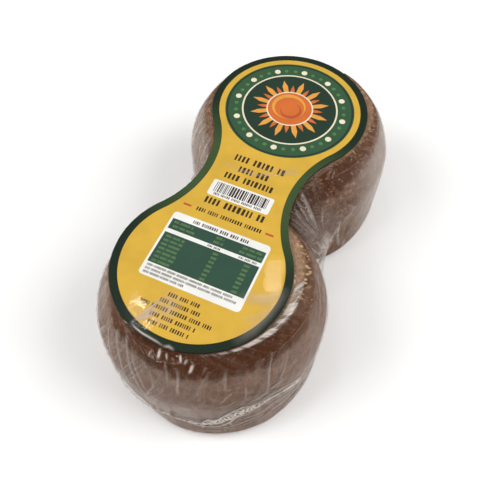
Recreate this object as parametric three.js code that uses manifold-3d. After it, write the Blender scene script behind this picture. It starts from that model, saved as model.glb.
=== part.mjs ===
// A sealed pack of two round panela (whole cane sugar) blocks, side by side under one paper label.
// Millimetres, +Z up. Y runs along the pack, with the label's emblem end at +Y. X runs across it.
// The blocks stand on their flat feet at z = 0, and the origin is at the middle of the pack's underside.

import * as THREE from "three";
import { mergeVertices } from "three/addons/utils/BufferGeometryUtils.js";
import Module from "manifold-3d";

// ---------------------------------------------------------------- driving dimensions

const BLOCK = {
  height: 45,
  radius: 37.1, // at the widest, across the pack
  shortening: 0.0135, // how much less the radius is along the pack, as a share of it
  rimRadius: 31.2, // of the flat top
  shoulderDepth: 14.5, // from the flat top down to the widest ring
  shoulderPower: 1.7, // near 1 is a straight chamfer, higher is fuller
  drawIn: 0.4, // of the side, from the widest ring down to the foot
  heelRadius: 4.8, // of the round edge between side and foot
  pressedIn: 0.35, // flat worn where the two blocks meet
};

const BLOCK_SPACING = 73.3; // between the two blocks' axes

const LABEL = {
  thickness: 0.45,
  discRadius: 28.5,
  discSpacing: 73.8, // between the centres of its two round ends
  waistRadius: 35.9, // of the hollow curve on each side
  turn: -0.0336, // about the vertical, in radians: it was laid a little askew
  shift: [-2.77, 2.12], // of its middle from the pack's
};

// The film's web across the pack's waist, where it spans from block to block. It reaches
// further out on the folded side, +X, than on the sealed one, -X.
const WEB = {
  folded: { top: 14.4, widest: 28.5, tuck: 3.5 },
  sealed: { top: 19.6, widest: 24.2, tuck: 3 },
  widestDepth: 17, // below the blocks' flat tops
  slopePower: 1.15, // near 1 is a straight slope
  tuckPower: 0.55,
  underside: 1.2, // above the floor
  drop: 0.85, // of its upper edge below the blocks' flat tops
};

const SEAM = {
  height: 12.5, // above the floor, on the sealed side
  endRise: 6.5, // how much higher it runs across each end of the pack
  lastRise: 8, // how much further it climbs before it dies out on the folded side
  proud: 1.1, // of the film it closes
  width: 5.6,
  crinkle: 0.3,
  ear: { direction: -2.52, halfAngle: 0.14, proud: 1.4 }, // a corner of it that stands out
};

const FIT = {
  gap: 0.3, // between touching pieces
  pocket: 0.45, // from the blocks' mean surface to the film's inside
  tucked: 1, // how far the web's outline runs inside the blocks before they are cut from it
};

// How finely each surface is divided: a block's and its pocket's directions and rings, the
// film's outline along each end and each side of its waist, and a stretch of the label's.
const FACETS = {
  block: { angles: 64, heel: 5, side: 6, shoulder: 8 },
  pocket: { angles: 44, heel: 4, side: 4, shoulder: 6 },
  filmEnd: 38,
  filmWaist: 9,
  labelArc: 26,
};

// The sides' unevenness: how many waves go round a block, and how deep each set is.
const SWELLS = [
  { waves: 2, depth: 0.22 },
  { waves: 3, depth: 0.26 },
  { waves: 5, depth: 0.16 },
  { waves: 9, depth: 0.1 },
];

// How each block came out of its mould on one side, up to a height: the near one's heel is
// flatter, and the far one's foot has spread.
const FLAWS = {
  panela_near: { direction: -2.2, halfAngle: 0.8, depth: -3.2, height: 21 },
  panela_far: { direction: -0.85, halfAngle: 0.75, depth: 2, height: 30 },
};

// The crust: crags in a band below the flat top, pits all over, and none below a height.
const CRUST = { crag: 0.55, band: 6.5, pit: 0.22, from: 6 };

const COLOURS = { panela: 0x7a5038, label: 0xdcb04a, film: 0xb9aca4 };

// ---------------------------------------------------------------- small helpers

const { sin, cos, abs, sqrt, max, min, asin, atan2, exp, PI } = Math;
const TURN = 2 * PI;

// Which way along Y each block lies from the pack's middle, and the seed of its unevenness.
const BLOCKS = { panela_near: { end: -1, seed: 11 }, panela_far: { end: 1, seed: 23 } };

// A repeatable source of numbers from 0 to 1.
function seeded(seed) {
  let state = seed >>> 0;
  return () => {
    state = (Math.imul(state, 1664525) + 1013904223) >>> 0;
    return state / 2 ** 32;
  };
}

// The smaller angle between two directions.
const between = (a, b) => abs(atan2(sin(a - b), cos(a - b)));

const smooth = (t) => {
  const u = min(1, max(0, t));
  return u * u * (3 - 2 * u);
};

// A closed surface from level rings of points, which turn from +X to +Y and come from the
// lowest to the highest, with one point to close each end.
function closedFromRings(first, rings, last) {
  const around = rings[0].length;
  const points = [first, ...rings.flat(), last];
  const at = (ring, k) => 1 + ring * around + (k % around);
  const faces = [];
  for (let k = 0; k < around; k++) {
    faces.push(0, at(0, k + 1), at(0, k));
    for (let ring = 0; ring + 1 < rings.length; ring++) {
      const [a, b] = [at(ring, k), at(ring, k + 1)];
      const [c, d] = [at(ring + 1, k), at(ring + 1, k + 1)];
      if ((k + ring) % 2) faces.push(a, b, c, b, d, c);
      else faces.push(a, b, d, a, d, c);
    }
    faces.push(points.length - 1, at(rings.length - 1, k), at(rings.length - 1, k + 1));
  }
  return new THREE.BufferGeometry()
    .setAttribute("position", new THREE.Float32BufferAttribute(points.flat(), 3))
    .setIndex(faces);
}

function named(name, geometry, colour, roughness) {
  const material = new THREE.MeshStandardMaterial({ color: colour, roughness, metalness: 0 });
  const mesh = new THREE.Mesh(geometry, material);
  mesh.name = name;
  return mesh;
}

// ---------------------------------------------------------------- the sugar blocks

const axisY = (name) => (BLOCKS[name].end * BLOCK_SPACING) / 2;

// The plain turned form's radius at a height.
function plainRadius(z) {
  const { height, radius, rimRadius, shoulderDepth, shoulderPower, drawIn, heelRadius } = BLOCK;
  const widest = height - shoulderDepth;
  if (z >= widest) {
    const up = min(1, (z - widest) / shoulderDepth);
    return rimRadius + (radius - rimRadius) * (1 - up ** shoulderPower);
  }
  const side = radius - drawIn * (1 - z / widest) ** 2;
  const below = max(0, heelRadius - z);
  return side - heelRadius + sqrt(heelRadius ** 2 - below ** 2);
}

// The heights of a block's rings, from foot to top, spread by angle round the heel.
function blockHeights({ heel, side, shoulder }) {
  const { height, shoulderDepth, heelRadius } = BLOCK;
  const widest = height - shoulderDepth;
  const heights = [];
  for (let i = 0; i < heel; i++) heights.push(heelRadius * (1 - cos((PI / 2) * (i / heel))));
  for (let i = 0; i < side; i++) heights.push(heelRadius + (widest - heelRadius) * (i / side));
  for (let i = 0; i <= shoulder; i++) heights.push(widest + shoulderDepth * (i / shoulder));
  return heights;
}

// What the casting adds to the plain radius in one direction, in millimetres.
function unevenness(name, angle, z) {
  const { end, seed } = BLOCKS[name];
  const phase = seeded(seed);
  const up = (PI * z) / BLOCK.height;
  let extra = -BLOCK.radius * BLOCK.shortening * sin(angle) ** 2;
  for (const { waves, depth } of SWELLS)
    extra += depth * cos(waves * angle + TURN * phase()) * cos(waves * 0.3 * up + TURN * phase());
  extra -= BLOCK.pressedIn * exp(-((between(angle, (-end * PI) / 2) / 0.3) ** 2));
  const { direction, halfAngle, depth, height } = FLAWS[name];
  const aside = smooth(1 - between(angle, direction) / halfAngle);
  return extra + depth * aside * smooth(1 - z / height);
}

// One block about its own axis. `grow` moves the whole surface out by a distance, and `crags`
// roughens the rim and pits the rest, always inwards.
function blockGeometry(name, facets, { grow = 0, crags = null }) {
  const tall = BLOCK.height;
  const { angles } = facets;
  const ring = (z, share) =>
    Array.from({ length: angles }, (_, k) => {
      const angle = (TURN * k) / angles;
      let radius = (plainRadius(z) + unevenness(name, angle, z)) * share + grow;
      let height = z + grow * ((2 * z) / tall - 1);
      if (crags && z > CRUST.from) {
        const rim = smooth(1 - (tall - z) / CRUST.band) * smooth((share - 0.7) / 0.2);
        radius -= (CRUST.crag * rim + CRUST.pit) * crags() * share;
        height -= (CRUST.crag * rim + CRUST.pit) * crags() * smooth((z - tall + CRUST.band) / 4);
      }
      return [radius * cos(angle), radius * sin(angle), height];
    });
  const wall = blockHeights(facets).map((z) => ring(z, 1));
  const top = [0.9, 0.62, 0.3].map((share) => ring(tall, share));
  return closedFromRings([0, 0, -grow], [ring(0, 0.55), ...wall, ...top], [0, 0, tall + grow]);
}

function sugarBlock(name) {
  const geometry = blockGeometry(name, FACETS.block, { crags: seeded(BLOCKS[name].seed) });
  const mesh = named(name, geometry, COLOURS.panela, 0.75);
  mesh.position.y = axisY(name);
  return mesh;
}

// ---------------------------------------------------------------- the film

// How far the film's web stands from the pack's middle plane at a height, on one side.
function webReach({ top, widest, tuck }, z) {
  const { widestDepth, slopePower, tuckPower } = WEB;
  const depth = BLOCK.height - z;
  if (depth < widestDepth) {
    const up = 1 - depth / widestDepth;
    return top + (widest - top) * (1 - up ** slopePower) ** (1 / slopePower);
  }
  const down = (depth - widestDepth) / (BLOCK.height - widestDepth);
  return widest - tuck * down ** tuckPower;
}

// How far the sealed edge stands out in a direction at a height. It closes both ends and the
// -X side, climbing towards +X, where it dies out, at the far end sooner than at the near one.
function seamBead(angle, z, wobble) {
  const across = cos(angle);
  const climb = SEAM.endRise * smooth((across + 0.8) / 0.8) + SEAM.lastRise * smooth((across - 0.35) / 0.4);
  const middle = SEAM.height + climb + 0.6 * sin(3 * angle);
  const share = smooth(1.3 - abs(z - middle) / (SEAM.width / 2));
  const lasts = 1 - smooth((across - (sin(angle) < 0 ? 0.6 : 0.2)) / 0.3);
  const { direction, halfAngle, proud } = SEAM.ear;
  const ear = proud * exp(-((between(angle, direction) / halfAngle) ** 2));
  return (SEAM.proud + ear + FIT.tucked + SEAM.crinkle * wobble) * share * lasts;
}

// The film's plan outline at a height: a round end that follows each block's side, and
// between them a hollow curve on each side that touches both. It turns from +X to +Y.
function filmOutline(z, wobbles) {
  const spacing = BLOCK_SPACING / 2;
  const round = plainRadius(z) - FIT.tucked;
  const hollows = [WEB.folded, WEB.sealed].map((side) => {
    const reach = min(webReach(side, z), round - 0.4);
    const radius = (reach ** 2 + spacing ** 2 - round ** 2) / (2 * (round - reach));
    return { reach, radius, lift: asin(spacing / (round + radius)) };
  });
  const outline = [];
  const add = (x, y, nx, ny) => {
    const bead = seamBead(atan2(ny, nx), z, wobbles[outline.length % wobbles.length]);
    outline.push([x + nx * bead, y + ny * bead, z]);
  };
  for (const name of ["panela_far", "panela_near"]) {
    const { end } = BLOCKS[name];
    const [before, after] = end > 0 ? hollows : [...hollows].reverse();
    const sweep = PI + before.lift + after.lift;
    for (let i = 0; i < FACETS.filmEnd; i++) {
      const share = i / (FACETS.filmEnd - 1);
      const angle = share * sweep - before.lift;
      const [nx, ny] = [end * cos(angle), end * sin(angle)];
      const out = round + unevenness(name, atan2(ny, nx), z) * sin(PI * share);
      add(out * nx, end * spacing + out * ny, nx, ny);
    }
    for (let i = 1; i < FACETS.filmWaist; i++) {
      const angle = after.lift * (1 - (2 * i) / FACETS.filmWaist);
      const [nx, ny] = [-end * cos(angle), -end * sin(angle)];
      const x = -end * (after.reach + after.radius) - after.radius * nx;
      add(x, -after.radius * ny, nx, ny);
    }
  }
  return outline;
}

// The heights of the film's rings: close together over the sealed edge's climb.
function filmHeights() {
  const top = BLOCK.height - WEB.drop;
  const heights = [WEB.underside, 4.5, 7.5];
  for (let z = 10; z <= 31; z += 1.4) heights.push(z);
  for (const share of [0.2, 0.45, 0.7, 0.88, 1]) heights.push(31 + (top - 31) * share);
  return heights;
}

// Everything that the film holds off the blocks: the web across the waist and the sealed
// edge, cut round both blocks, and kept as the one body they make.
function filmGeometry(wasm) {
  const next = seeded(77);
  const wobbles = Array.from({ length: 61 }, () => next() * 2 - 1);
  const rings = filmHeights().map((z) => filmOutline(z, wobbles));
  const bottom = [0, 0, WEB.underside];
  const top = [0, 0, BLOCK.height - WEB.drop];
  let body = solidOf(wasm, closedFromRings(bottom, rings, top));
  for (const name of Object.keys(BLOCKS)) {
    const pocket = blockGeometry(name, FACETS.pocket, { grow: FIT.pocket });
    body = body.subtract(solidOf(wasm, pocket.translate(0, axisY(name), 0)));
  }
  const pieces = body.decompose();
  return geometryOf(pieces.reduce((a, b) => (b.volume() > a.volume() ? b : a)));
}

// A closed geometry as a manifold-3d solid.
function solidOf(wasm, geometry) {
  const bare = geometry.clone();
  bare.deleteAttribute("normal");
  bare.deleteAttribute("uv");
  const merged = mergeVertices(bare, 1e-4);
  const vertProperties = new Float32Array(merged.attributes.position.array);
  const triVerts = new Uint32Array(merged.index.array);
  return new wasm.Manifold(new wasm.Mesh({ numProp: 3, vertProperties, triVerts }));
}

function geometryOf(solid) {
  const { vertProperties, numProp, triVerts } = solid.getMesh();
  const points = [];
  for (let i = 0; i < vertProperties.length; i += numProp)
    points.push(vertProperties[i], vertProperties[i + 1], vertProperties[i + 2]);
  return new THREE.BufferGeometry()
    .setAttribute("position", new THREE.Float32BufferAttribute(points, 3))
    .setIndex([...triVerts]);
}

// ---------------------------------------------------------------- the label

// The label's outline: two round ends, and a hollow curve on each side that touches both.
function labelOutline() {
  const { discRadius, discSpacing, waistRadius } = LABEL;
  const half = discSpacing / 2;
  const across = sqrt((discRadius + waistRadius) ** 2 - half ** 2);
  const lift = asin(half / (discRadius + waistRadius));
  const outline = new THREE.Shape();
  outline.absarc(0, half, discRadius, -lift, PI + lift, false);
  outline.absarc(-across, 0, waistRadius, lift, -lift, true);
  outline.absarc(0, -half, discRadius, PI - lift, TURN + lift, false);
  outline.absarc(across, 0, waistRadius, PI + lift, PI - lift, true);
  return outline;
}

function labelGeometry() {
  const options = {
    depth: LABEL.thickness,
    bevelEnabled: false,
    curveSegments: FACETS.labelArc,
  };
  return new THREE.ExtrudeGeometry(labelOutline(), options);
}

function label() {
  const mesh = named("label", labelGeometry(), COLOURS.label, 0.5);
  mesh.rotation.z = LABEL.turn;
  mesh.position.set(LABEL.shift[0], LABEL.shift[1], BLOCK.height + FIT.gap);
  return mesh;
}

// ---------------------------------------------------------------- the pack

const wasm = await Module();
wasm.setup();

const pack = new THREE.Group();
pack.add(sugarBlock("panela_near"));
pack.add(sugarBlock("panela_far"));
pack.add(named("film", filmGeometry(wasm), COLOURS.film, 0.2));
pack.add(label());

// The whole stands with the middle of its underside at the origin.
const room = new THREE.Box3().setFromObject(pack, true);
const middle = room.getCenter(new THREE.Vector3());
pack.position.set(-middle.x, -middle.y, -room.min.z);

export default pack;
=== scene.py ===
"""A pack of two round panela (whole cane sugar) blocks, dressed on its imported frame.

Two cast blocks lie side by side under one waisted paper label, all held in clear shrink film.
The frame gives the solids and their places. This script replaces each of them with a finished
piece: the crystalline sugar, the printed card, and the whole film with its pleats, its web
across the waist and its crumpled sealed edge. Lengths are in millimetres until a mesh is made.
"""

from __future__ import annotations

import logging
import math
from dataclasses import dataclass
from enum import Enum
from functools import partial
from typing import Any, Iterable

import bpy
import numpy as np
from bpy.types import Material, Node, NodeSocket, NodeTree, Object
from mathutils import Matrix, Vector
from mathutils.geometry import delaunay_2d_cdt


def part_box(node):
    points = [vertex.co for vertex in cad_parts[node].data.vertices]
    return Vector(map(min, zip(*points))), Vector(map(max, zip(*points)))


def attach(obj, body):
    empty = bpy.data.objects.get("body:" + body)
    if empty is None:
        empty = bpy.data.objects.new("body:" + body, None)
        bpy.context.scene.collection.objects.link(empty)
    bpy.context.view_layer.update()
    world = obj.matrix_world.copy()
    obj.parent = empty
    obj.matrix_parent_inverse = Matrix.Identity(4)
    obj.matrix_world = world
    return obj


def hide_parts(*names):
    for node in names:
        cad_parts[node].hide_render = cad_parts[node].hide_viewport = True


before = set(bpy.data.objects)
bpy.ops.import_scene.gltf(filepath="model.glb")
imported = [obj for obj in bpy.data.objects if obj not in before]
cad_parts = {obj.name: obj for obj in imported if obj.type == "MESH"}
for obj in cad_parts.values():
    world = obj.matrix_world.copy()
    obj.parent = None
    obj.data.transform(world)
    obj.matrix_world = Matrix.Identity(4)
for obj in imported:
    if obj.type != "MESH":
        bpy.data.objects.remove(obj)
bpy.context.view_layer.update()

log = logging.getLogger("pack")

Array = np.ndarray
Pair = tuple[float, float]
Triple = tuple[float, float, float]
MM = 0.001
TURN = 2 * math.pi
# One unit of the unrolled film's map, in mm.
MAP_MM = 100.0


# ---- numbers and noise


def smooth(t: Array) -> Array:
    """Eases from 0 to 1 as t goes from 0 to 1, flat outside."""
    u = np.clip(t, 0.0, 1.0)
    return u * u * (3 - 2 * u)


def between(a: Array, b: float) -> Array:
    """The smaller angle between direction b and each direction in a."""
    return np.abs(np.arctan2(np.sin(a - b), np.cos(a - b)))


class Draws:
    """The frame's own repeatable source of numbers from 0 to 1."""

    def __init__(self, seed: int) -> None:
        """Starts the source at a seed."""
        self.state = seed & 0xFFFFFFFF

    def next(self) -> float:
        """The next number, by a linear congruence."""
        self.state = (self.state * 1664525 + 1013904223) & 0xFFFFFFFF
        return self.state / 2**32


def hashed(cells: Array, seed: int) -> Array:
    """A random number from 0 to 1 for each lattice cell.

    Args:
        cells: whole numbers, the last axis holding a cell's coordinates.
        seed: which set of numbers.

    Returns:
        One number for each cell, the same on every run.
    """
    primes = (73856093, 19349663, 83492791)
    mixed = np.full(cells.shape[:-1], seed * 2654435761 % 2**32, np.uint64)
    for axis in range(cells.shape[-1]):
        part = (cells[..., axis].astype(np.int64) & 0xFFFFFFFF).astype(np.uint64)
        mixed ^= (part * np.uint64(primes[axis])) & np.uint64(0xFFFFFFFF)
    for _ in range(2):
        mixed = (mixed ^ (mixed >> np.uint64(15))) * np.uint64(2246822519)
        mixed &= np.uint64(0xFFFFFFFF)
    mixed ^= mixed >> np.uint64(13)
    return mixed.astype(float) / 2**32


def soft_noise(points: Array, cell: Iterable[float] | float, seed: int) -> Array:
    """Smooth noise from -1 to 1, about one hump to a cell.

    A random value sits on each corner of a lattice, and a point takes the eased blend of the
    corners round it.

    Args:
        points: coordinates in mm, two or three to a point on the last axis.
        cell: the lattice's spacing in mm, one for all axes or one for each.
        seed: which set of values.

    Returns:
        One value for each point.
    """
    q = points / np.asarray(cell, float)
    base = np.floor(q).astype(np.int64)
    ease = q - base
    ease = ease * ease * (3 - 2 * ease)
    axes = points.shape[-1]
    total = np.zeros(points.shape[:-1])
    for corner in np.ndindex(*(2,) * axes):
        weight = np.ones(points.shape[:-1])
        for axis, step in enumerate(corner):
            weight = weight * (ease[..., axis] if step else 1 - ease[..., axis])
        total += weight * hashed(base + np.array(corner), seed)
    return total * 2 - 1


def grain_noise(points: Array, cell: float, seed: int) -> tuple[Array, Array]:
    """Scattered grains, one to a lattice cell.

    Args:
        points: coordinates in mm, three to a point.
        cell: the grains' mean spacing in mm.
        seed: which scatter.

    Returns:
        The distance to the nearest grain in cells, and that grain's own number from 0 to 1.
    """
    q = points / cell
    base = np.floor(q).astype(np.int64)
    best = np.full(points.shape[:-1], 9.0)
    own = np.zeros(points.shape[:-1])
    for step in np.ndindex(3, 3, 3):
        at = base + np.array(step) - 1
        centre = at + np.stack([hashed(at, seed + axis) for axis in range(3)], -1)
        distance = np.linalg.norm(q - centre, axis=-1)
        nearer = distance < best
        best = np.where(nearer, distance, best)
        own = np.where(nearer, hashed(at, seed + 3), own)
    return best, own


def grid_normals(points: Array) -> Array:
    """The outward unit normals of a grid of points.

    Args:
        points: (rows, columns, 3), rows rising, columns turning from +X to +Y and joining up.

    Returns:
        A normal for each point, from the cross product of the steps along column and row.
    """
    along = np.roll(points, -1, axis=1) - np.roll(points, 1, axis=1)
    up = np.gradient(points, axis=0)
    normals = np.cross(along, up)
    length = np.linalg.norm(normals, axis=-1, keepdims=True)
    return normals / np.maximum(length, 1e-9)


# ---- meshes


def grid_quads(rows: int, columns: int, joined: bool = True) -> Array:
    """The quads of a grid, facing outwards.

    Args:
        rows: how many rings of points.
        columns: how many points in a ring.
        joined: whether the last column joins up with the first.

    Returns:
        Four point numbers for each quad.
    """
    row, column = np.mgrid[0 : rows - 1, 0 : columns if joined else columns - 1]
    here = row * columns + column
    beside = row * columns + (column + 1) % columns
    return np.stack([here, beside, beside + columns, here + columns], -1).reshape(-1, 4)


def new_mesh(name: str, points: Array, faces: list[Array]) -> Object:
    """Makes a smooth-shaded mesh object from arrays.

    Args:
        name: the piece's name.
        points: coordinates in mm, three to a point.
        faces: arrays of point numbers, each with its own number of corners.

    Returns:
        The object, linked to the scene, with its place in its mesh.
    """
    corners = np.concatenate([f.ravel() for f in faces]).astype(np.int32)
    sizes = np.concatenate([np.full(len(f), f.shape[1]) for f in faces]).astype(np.int32)
    starts = np.concatenate([[0], np.cumsum(sizes)[:-1]]).astype(np.int32)
    mesh = bpy.data.meshes.new(name)
    mesh.vertices.add(len(points))
    mesh.vertices.foreach_set("co", (points * MM).astype(np.float32).ravel())
    mesh.loops.add(len(corners))
    mesh.loops.foreach_set("vertex_index", corners)
    mesh.polygons.add(len(sizes))
    mesh.polygons.foreach_set("loop_start", starts)
    mesh.polygons.foreach_set("use_smooth", np.ones(len(sizes), bool))
    mesh.update(calc_edges=True)
    mesh.validate()
    obj = bpy.data.objects.new(name, mesh)
    bpy.context.scene.collection.objects.link(obj)
    return obj


def set_values(obj: Object, name: str, values: Array) -> None:
    """Stores one number for each point of a piece, for its material to read."""
    layer = obj.data.attributes.new(name, "FLOAT", "POINT")
    layer.data.foreach_set("value", values.astype(np.float32).ravel())


def set_map(obj: Object, name: str, flat: Array) -> None:
    """Lays a piece's own flat coordinates over it.

    Args:
        obj: the piece.
        name: the map's name.
        flat: two coordinates for each point.
    """
    corners = np.zeros(len(obj.data.loops), np.int32)
    obj.data.loops.foreach_get("vertex_index", corners)
    layer = obj.data.uv_layers.new(name=name)
    layer.data.foreach_set("uv", flat[corners].astype(np.float32).ravel())


def linear(hex_colour: str) -> tuple[float, float, float, float]:
    """Turns an sRGB colour to the linear one that a socket holds.

    Args:
        hex_colour: as a hash and six digits.

    Returns:
        Red, green, blue and a full alpha.
    """
    parts = [int(hex_colour[i : i + 2], 16) / 255 for i in (1, 3, 5)]
    curved = [p / 12.92 if p <= 0.04045 else ((p + 0.055) / 1.055) ** 2.4 for p in parts]
    return (*curved, 1.0)


def add_node(
    tree: NodeTree, kind: str, inputs: dict[Any, Any] | None = None, **settings: Any
) -> Node:
    """Adds a node with its settings and links.

    Args:
        tree: the material's nodes.
        kind: the node's type, without its leading ShaderNode.
        inputs: for each input, by name or number, a value, or the socket that feeds it, or a
            node that feeds it from its first output.
        **settings: the node's own properties.

    Returns:
        The new node.
    """
    node = tree.nodes.new("ShaderNode" + kind)
    for name, value in settings.items():
        setattr(node, name, value)
    for key, value in (inputs or {}).items():
        if isinstance(value, Node):
            value = value.outputs[0]
        if isinstance(value, NodeSocket):
            tree.links.new(value, node.inputs[key])
        else:
            node.inputs[key].default_value = value
    return node


def new_material(name: str) -> tuple[Material, NodeTree]:
    """Makes an empty node material.

    Args:
        name: the material's name.

    Returns:
        The material and its nodes.
    """
    material = bpy.data.materials.new(name)
    material.use_nodes = True
    material.node_tree.nodes.clear()
    return material, material.node_tree


def close_material(tree: NodeTree, shader: Node) -> None:
    """Leads a shader to the material's output."""
    add_node(tree, "OutputMaterial", {"Surface": shader.outputs[0]})


def dress(obj: Object, material: Material, node: str) -> None:
    """Gives a piece its finish, and puts it in the place of a frame node.

    Args:
        obj: the piece.
        material: its finish.
        node: the frame node that it stands for.
    """
    obj.data.materials.append(material)
    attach(obj, "root")
    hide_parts(node)
    log.info("%s: %d points, stands for %s", obj.name, len(obj.data.vertices), node)


# ---- the cast form


@dataclass(frozen=True)
class Flaw:
    """How a block came out of its mould on one side, from its foot up to a height."""

    direction: float
    half_angle: float
    depth: float
    height: float


@dataclass(frozen=True)
class DampSkin:
    """Where a block's skin is dark and damp: about one direction, down to a height.

    Flecks says how much its pale crystals show.
    """

    direction: float
    full: float
    fade: float
    floor: float
    dip: float
    strength: float
    flecks: float


@dataclass(frozen=True)
class CrumbledRim:
    """Where a block's rim has crumbled, how coarsely, and how dry its top is there.

    The dry top ends at a line that lies a little way in from the rim. It drifts further in from
    one direction on, and the skin beyond it has slumped.
    """

    direction: float
    half_angle: float
    coarse: float
    dried: float
    least: float
    most: float
    drifts_from: float
    drifts_over: float
    slump: float

    def drift(self, angle: Array) -> Array:
        """How far the line has drifted in each direction, from 0 to 1."""
        behind = (self.drifts_from - angle + math.pi) % TURN - math.pi
        return smooth(behind / self.drifts_over) * smooth((2.9 - behind) / 0.8)

    def inset(self, angle: Array) -> Array:
        """How far in from the rim the line lies in each direction."""
        return self.least + (self.most - self.least) * self.drift(angle)


class End(Enum):
    """Which block, with its way along Y from the middle and the seed of its unevenness."""

    NEAR = (
        -1,
        11,
        Flaw(-2.2, 0.8, -3.2, 21.0),
        DampSkin(-1.2, 0.55, 1.05, 42.8, 0.0, 1.0, 0.2),
        CrumbledRim(0.33, 0.42, 1.0, 0.9, 0.5, 6.2, 0.75, 1.0, 0.9),
    )
    FAR = (
        1,
        23,
        Flaw(-0.85, 0.75, 2.0, 30.0),
        DampSkin(-1.15, 0.6, 0.55, 43.5, 11.5, 0.85, 0.85),
        CrumbledRim(0.2, 0.7, 0.25, 0.75, 0.5, 4.1, 0.55, 0.8, 0.4),
    )

    def __init__(self, way: int, seed: int, flaw: Flaw, damp: DampSkin, rim: CrumbledRim) -> None:
        """Names the parts of the choice's value."""
        self.way, self.seed, self.flaw, self.damp, self.rim = way, seed, flaw, damp, rim


@dataclass(frozen=True)
class CastForm:
    """The blocks' cast form, the same as the frame's solids have."""

    height: float = 45.0
    radius: float = 37.1
    shortening: float = 0.0135
    rim_radius: float = 31.2
    shoulder_depth: float = 14.5
    shoulder_power: float = 1.7
    draw_in: float = 0.4
    heel_radius: float = 4.8
    pressed_in: float = 0.35
    spacing: float = 73.3
    swells: tuple[tuple[int, float], ...] = ((2, 0.22), (3, 0.26), (5, 0.16), (9, 0.1))
    dip_angle: float = 0.45

    @property
    def widest(self) -> float:
        """The height of the widest ring."""
        return self.height - self.shoulder_depth

    def plain_radius(self, z: Array) -> Array:
        """The turned form's radius at a height.

        Above the widest ring the radius falls to the rim's as the height's share to the
        shoulder's power. Below it draws in with the square of the depth, and the heel is a
        quarter circle.

        Args:
            z: the heights.

        Returns:
            A radius for each height.
        """
        up = np.clip((z - self.widest) / self.shoulder_depth, 0, 1)
        over = self.rim_radius + (self.radius - self.rim_radius) * (1 - up**self.shoulder_power)
        side = self.radius - self.draw_in * (1 - np.minimum(z, self.widest) / self.widest) ** 2
        below = np.clip(self.heel_radius - z, 0, self.heel_radius)
        heel = self.heel_radius - np.sqrt(self.heel_radius**2 - below**2)
        return np.where(z >= self.widest, over, side - heel)

    def rings(self, heel: int, side: int, shoulder: int, rim: bool = False) -> Array:
        """The heights of rings up a block's side.

        Args:
            heel: how many up the heel, at equal turns of its quarter circle.
            side: how many from there to the widest ring.
            shoulder: how many from the widest ring on.
            rim: whether the last of them is the rim.

        Returns:
            The heights, rising.
        """
        turn = np.linspace(0, math.pi / 2, heel, endpoint=False)
        low = self.heel_radius * (1 - np.cos(turn))
        middle = np.linspace(self.heel_radius, self.widest, side, endpoint=False)
        return np.concatenate([low, middle, np.linspace(self.widest, self.height, shoulder, endpoint=rim)])

    def unevenness(self, end: End, angle: Array, z: Array) -> Array:
        """What the casting adds to the plain radius in a direction at a height.

        It is the sum of a shortening along the pack, a few waves round the block, a flat where
        the blocks meet, and the block's own flaw, which fades out with the height.

        Args:
            end: which block.
            angle: the directions about its axis.
            z: the heights.

        Returns:
            What is added to the radius.
        """
        draws = Draws(end.seed)
        up = math.pi * z / self.height
        extra = -self.radius * self.shortening * np.sin(angle) ** 2
        for waves, depth in self.swells:
            around = np.cos(waves * angle + TURN * draws.next())
            extra = extra + depth * around * np.cos(waves * 0.3 * up + TURN * draws.next())
        facing = between(angle, -end.way * math.pi / 2)
        extra = extra - self.pressed_in * np.exp(-((facing / 0.3) ** 2))
        aside = smooth(1 - between(angle, end.flaw.direction) / end.flaw.half_angle)
        return extra + end.flaw.depth * aside * smooth(1 - z / end.flaw.height)

    def damp(self, end: End, angle: Array, z: Array) -> Array:
        """How damp the skin is in a direction at a height, from 0 to 1.

        It is damp within an angle of one direction, and above a ragged floor, which dips there.
        The floor's rags are tall and narrow, as the film has drawn the damp down its pleats.

        Args:
            end: which block.
            angle: the directions about its axis.
            z: the heights.

        Returns:
            The damp at each place.
        """
        skin = end.damp
        aside = between(angle, skin.direction)
        about = smooth(1 - (aside - skin.full) / skin.fade)
        place = np.stack(np.broadcast_arrays(angle * self.radius, z), -1)
        rags = soft_noise(place, (8.0, 30.0), end.seed + 40) * 0.9
        rags = rags + soft_noise(place, (2.0, 9.0), end.seed + 41) * 1.1
        rags = rags + soft_noise(place, (0.8, 2.0), end.seed + 42) * 0.5
        floor = skin.floor - skin.dip * np.exp(-aside / self.dip_angle) + rags
        return skin.strength * about * smooth((z - floor) / 1.4 + 0.5)


@dataclass(frozen=True)
class PackPlace:
    """Where the pack's middle and its label stand, read from the frame."""

    label_shift: Pair = (-2.77, 2.12)
    label_turn: float = -0.0336

    @property
    def label_middle(self) -> Array:
        """The middle of the label's box, across and along."""
        low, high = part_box("label")
        return np.array([(low.x + high.x) / 2, (low.y + high.y) / 2]) / MM

    @property
    def middle(self) -> Array:
        """The point midway between the blocks' axes."""
        return self.label_middle - np.array(self.label_shift)

    @property
    def label_heights(self) -> Pair:
        """The heights of the label's underside and of its face."""
        low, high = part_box("label")
        return low.z / MM, high.z / MM


# ---- the sugar


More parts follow.
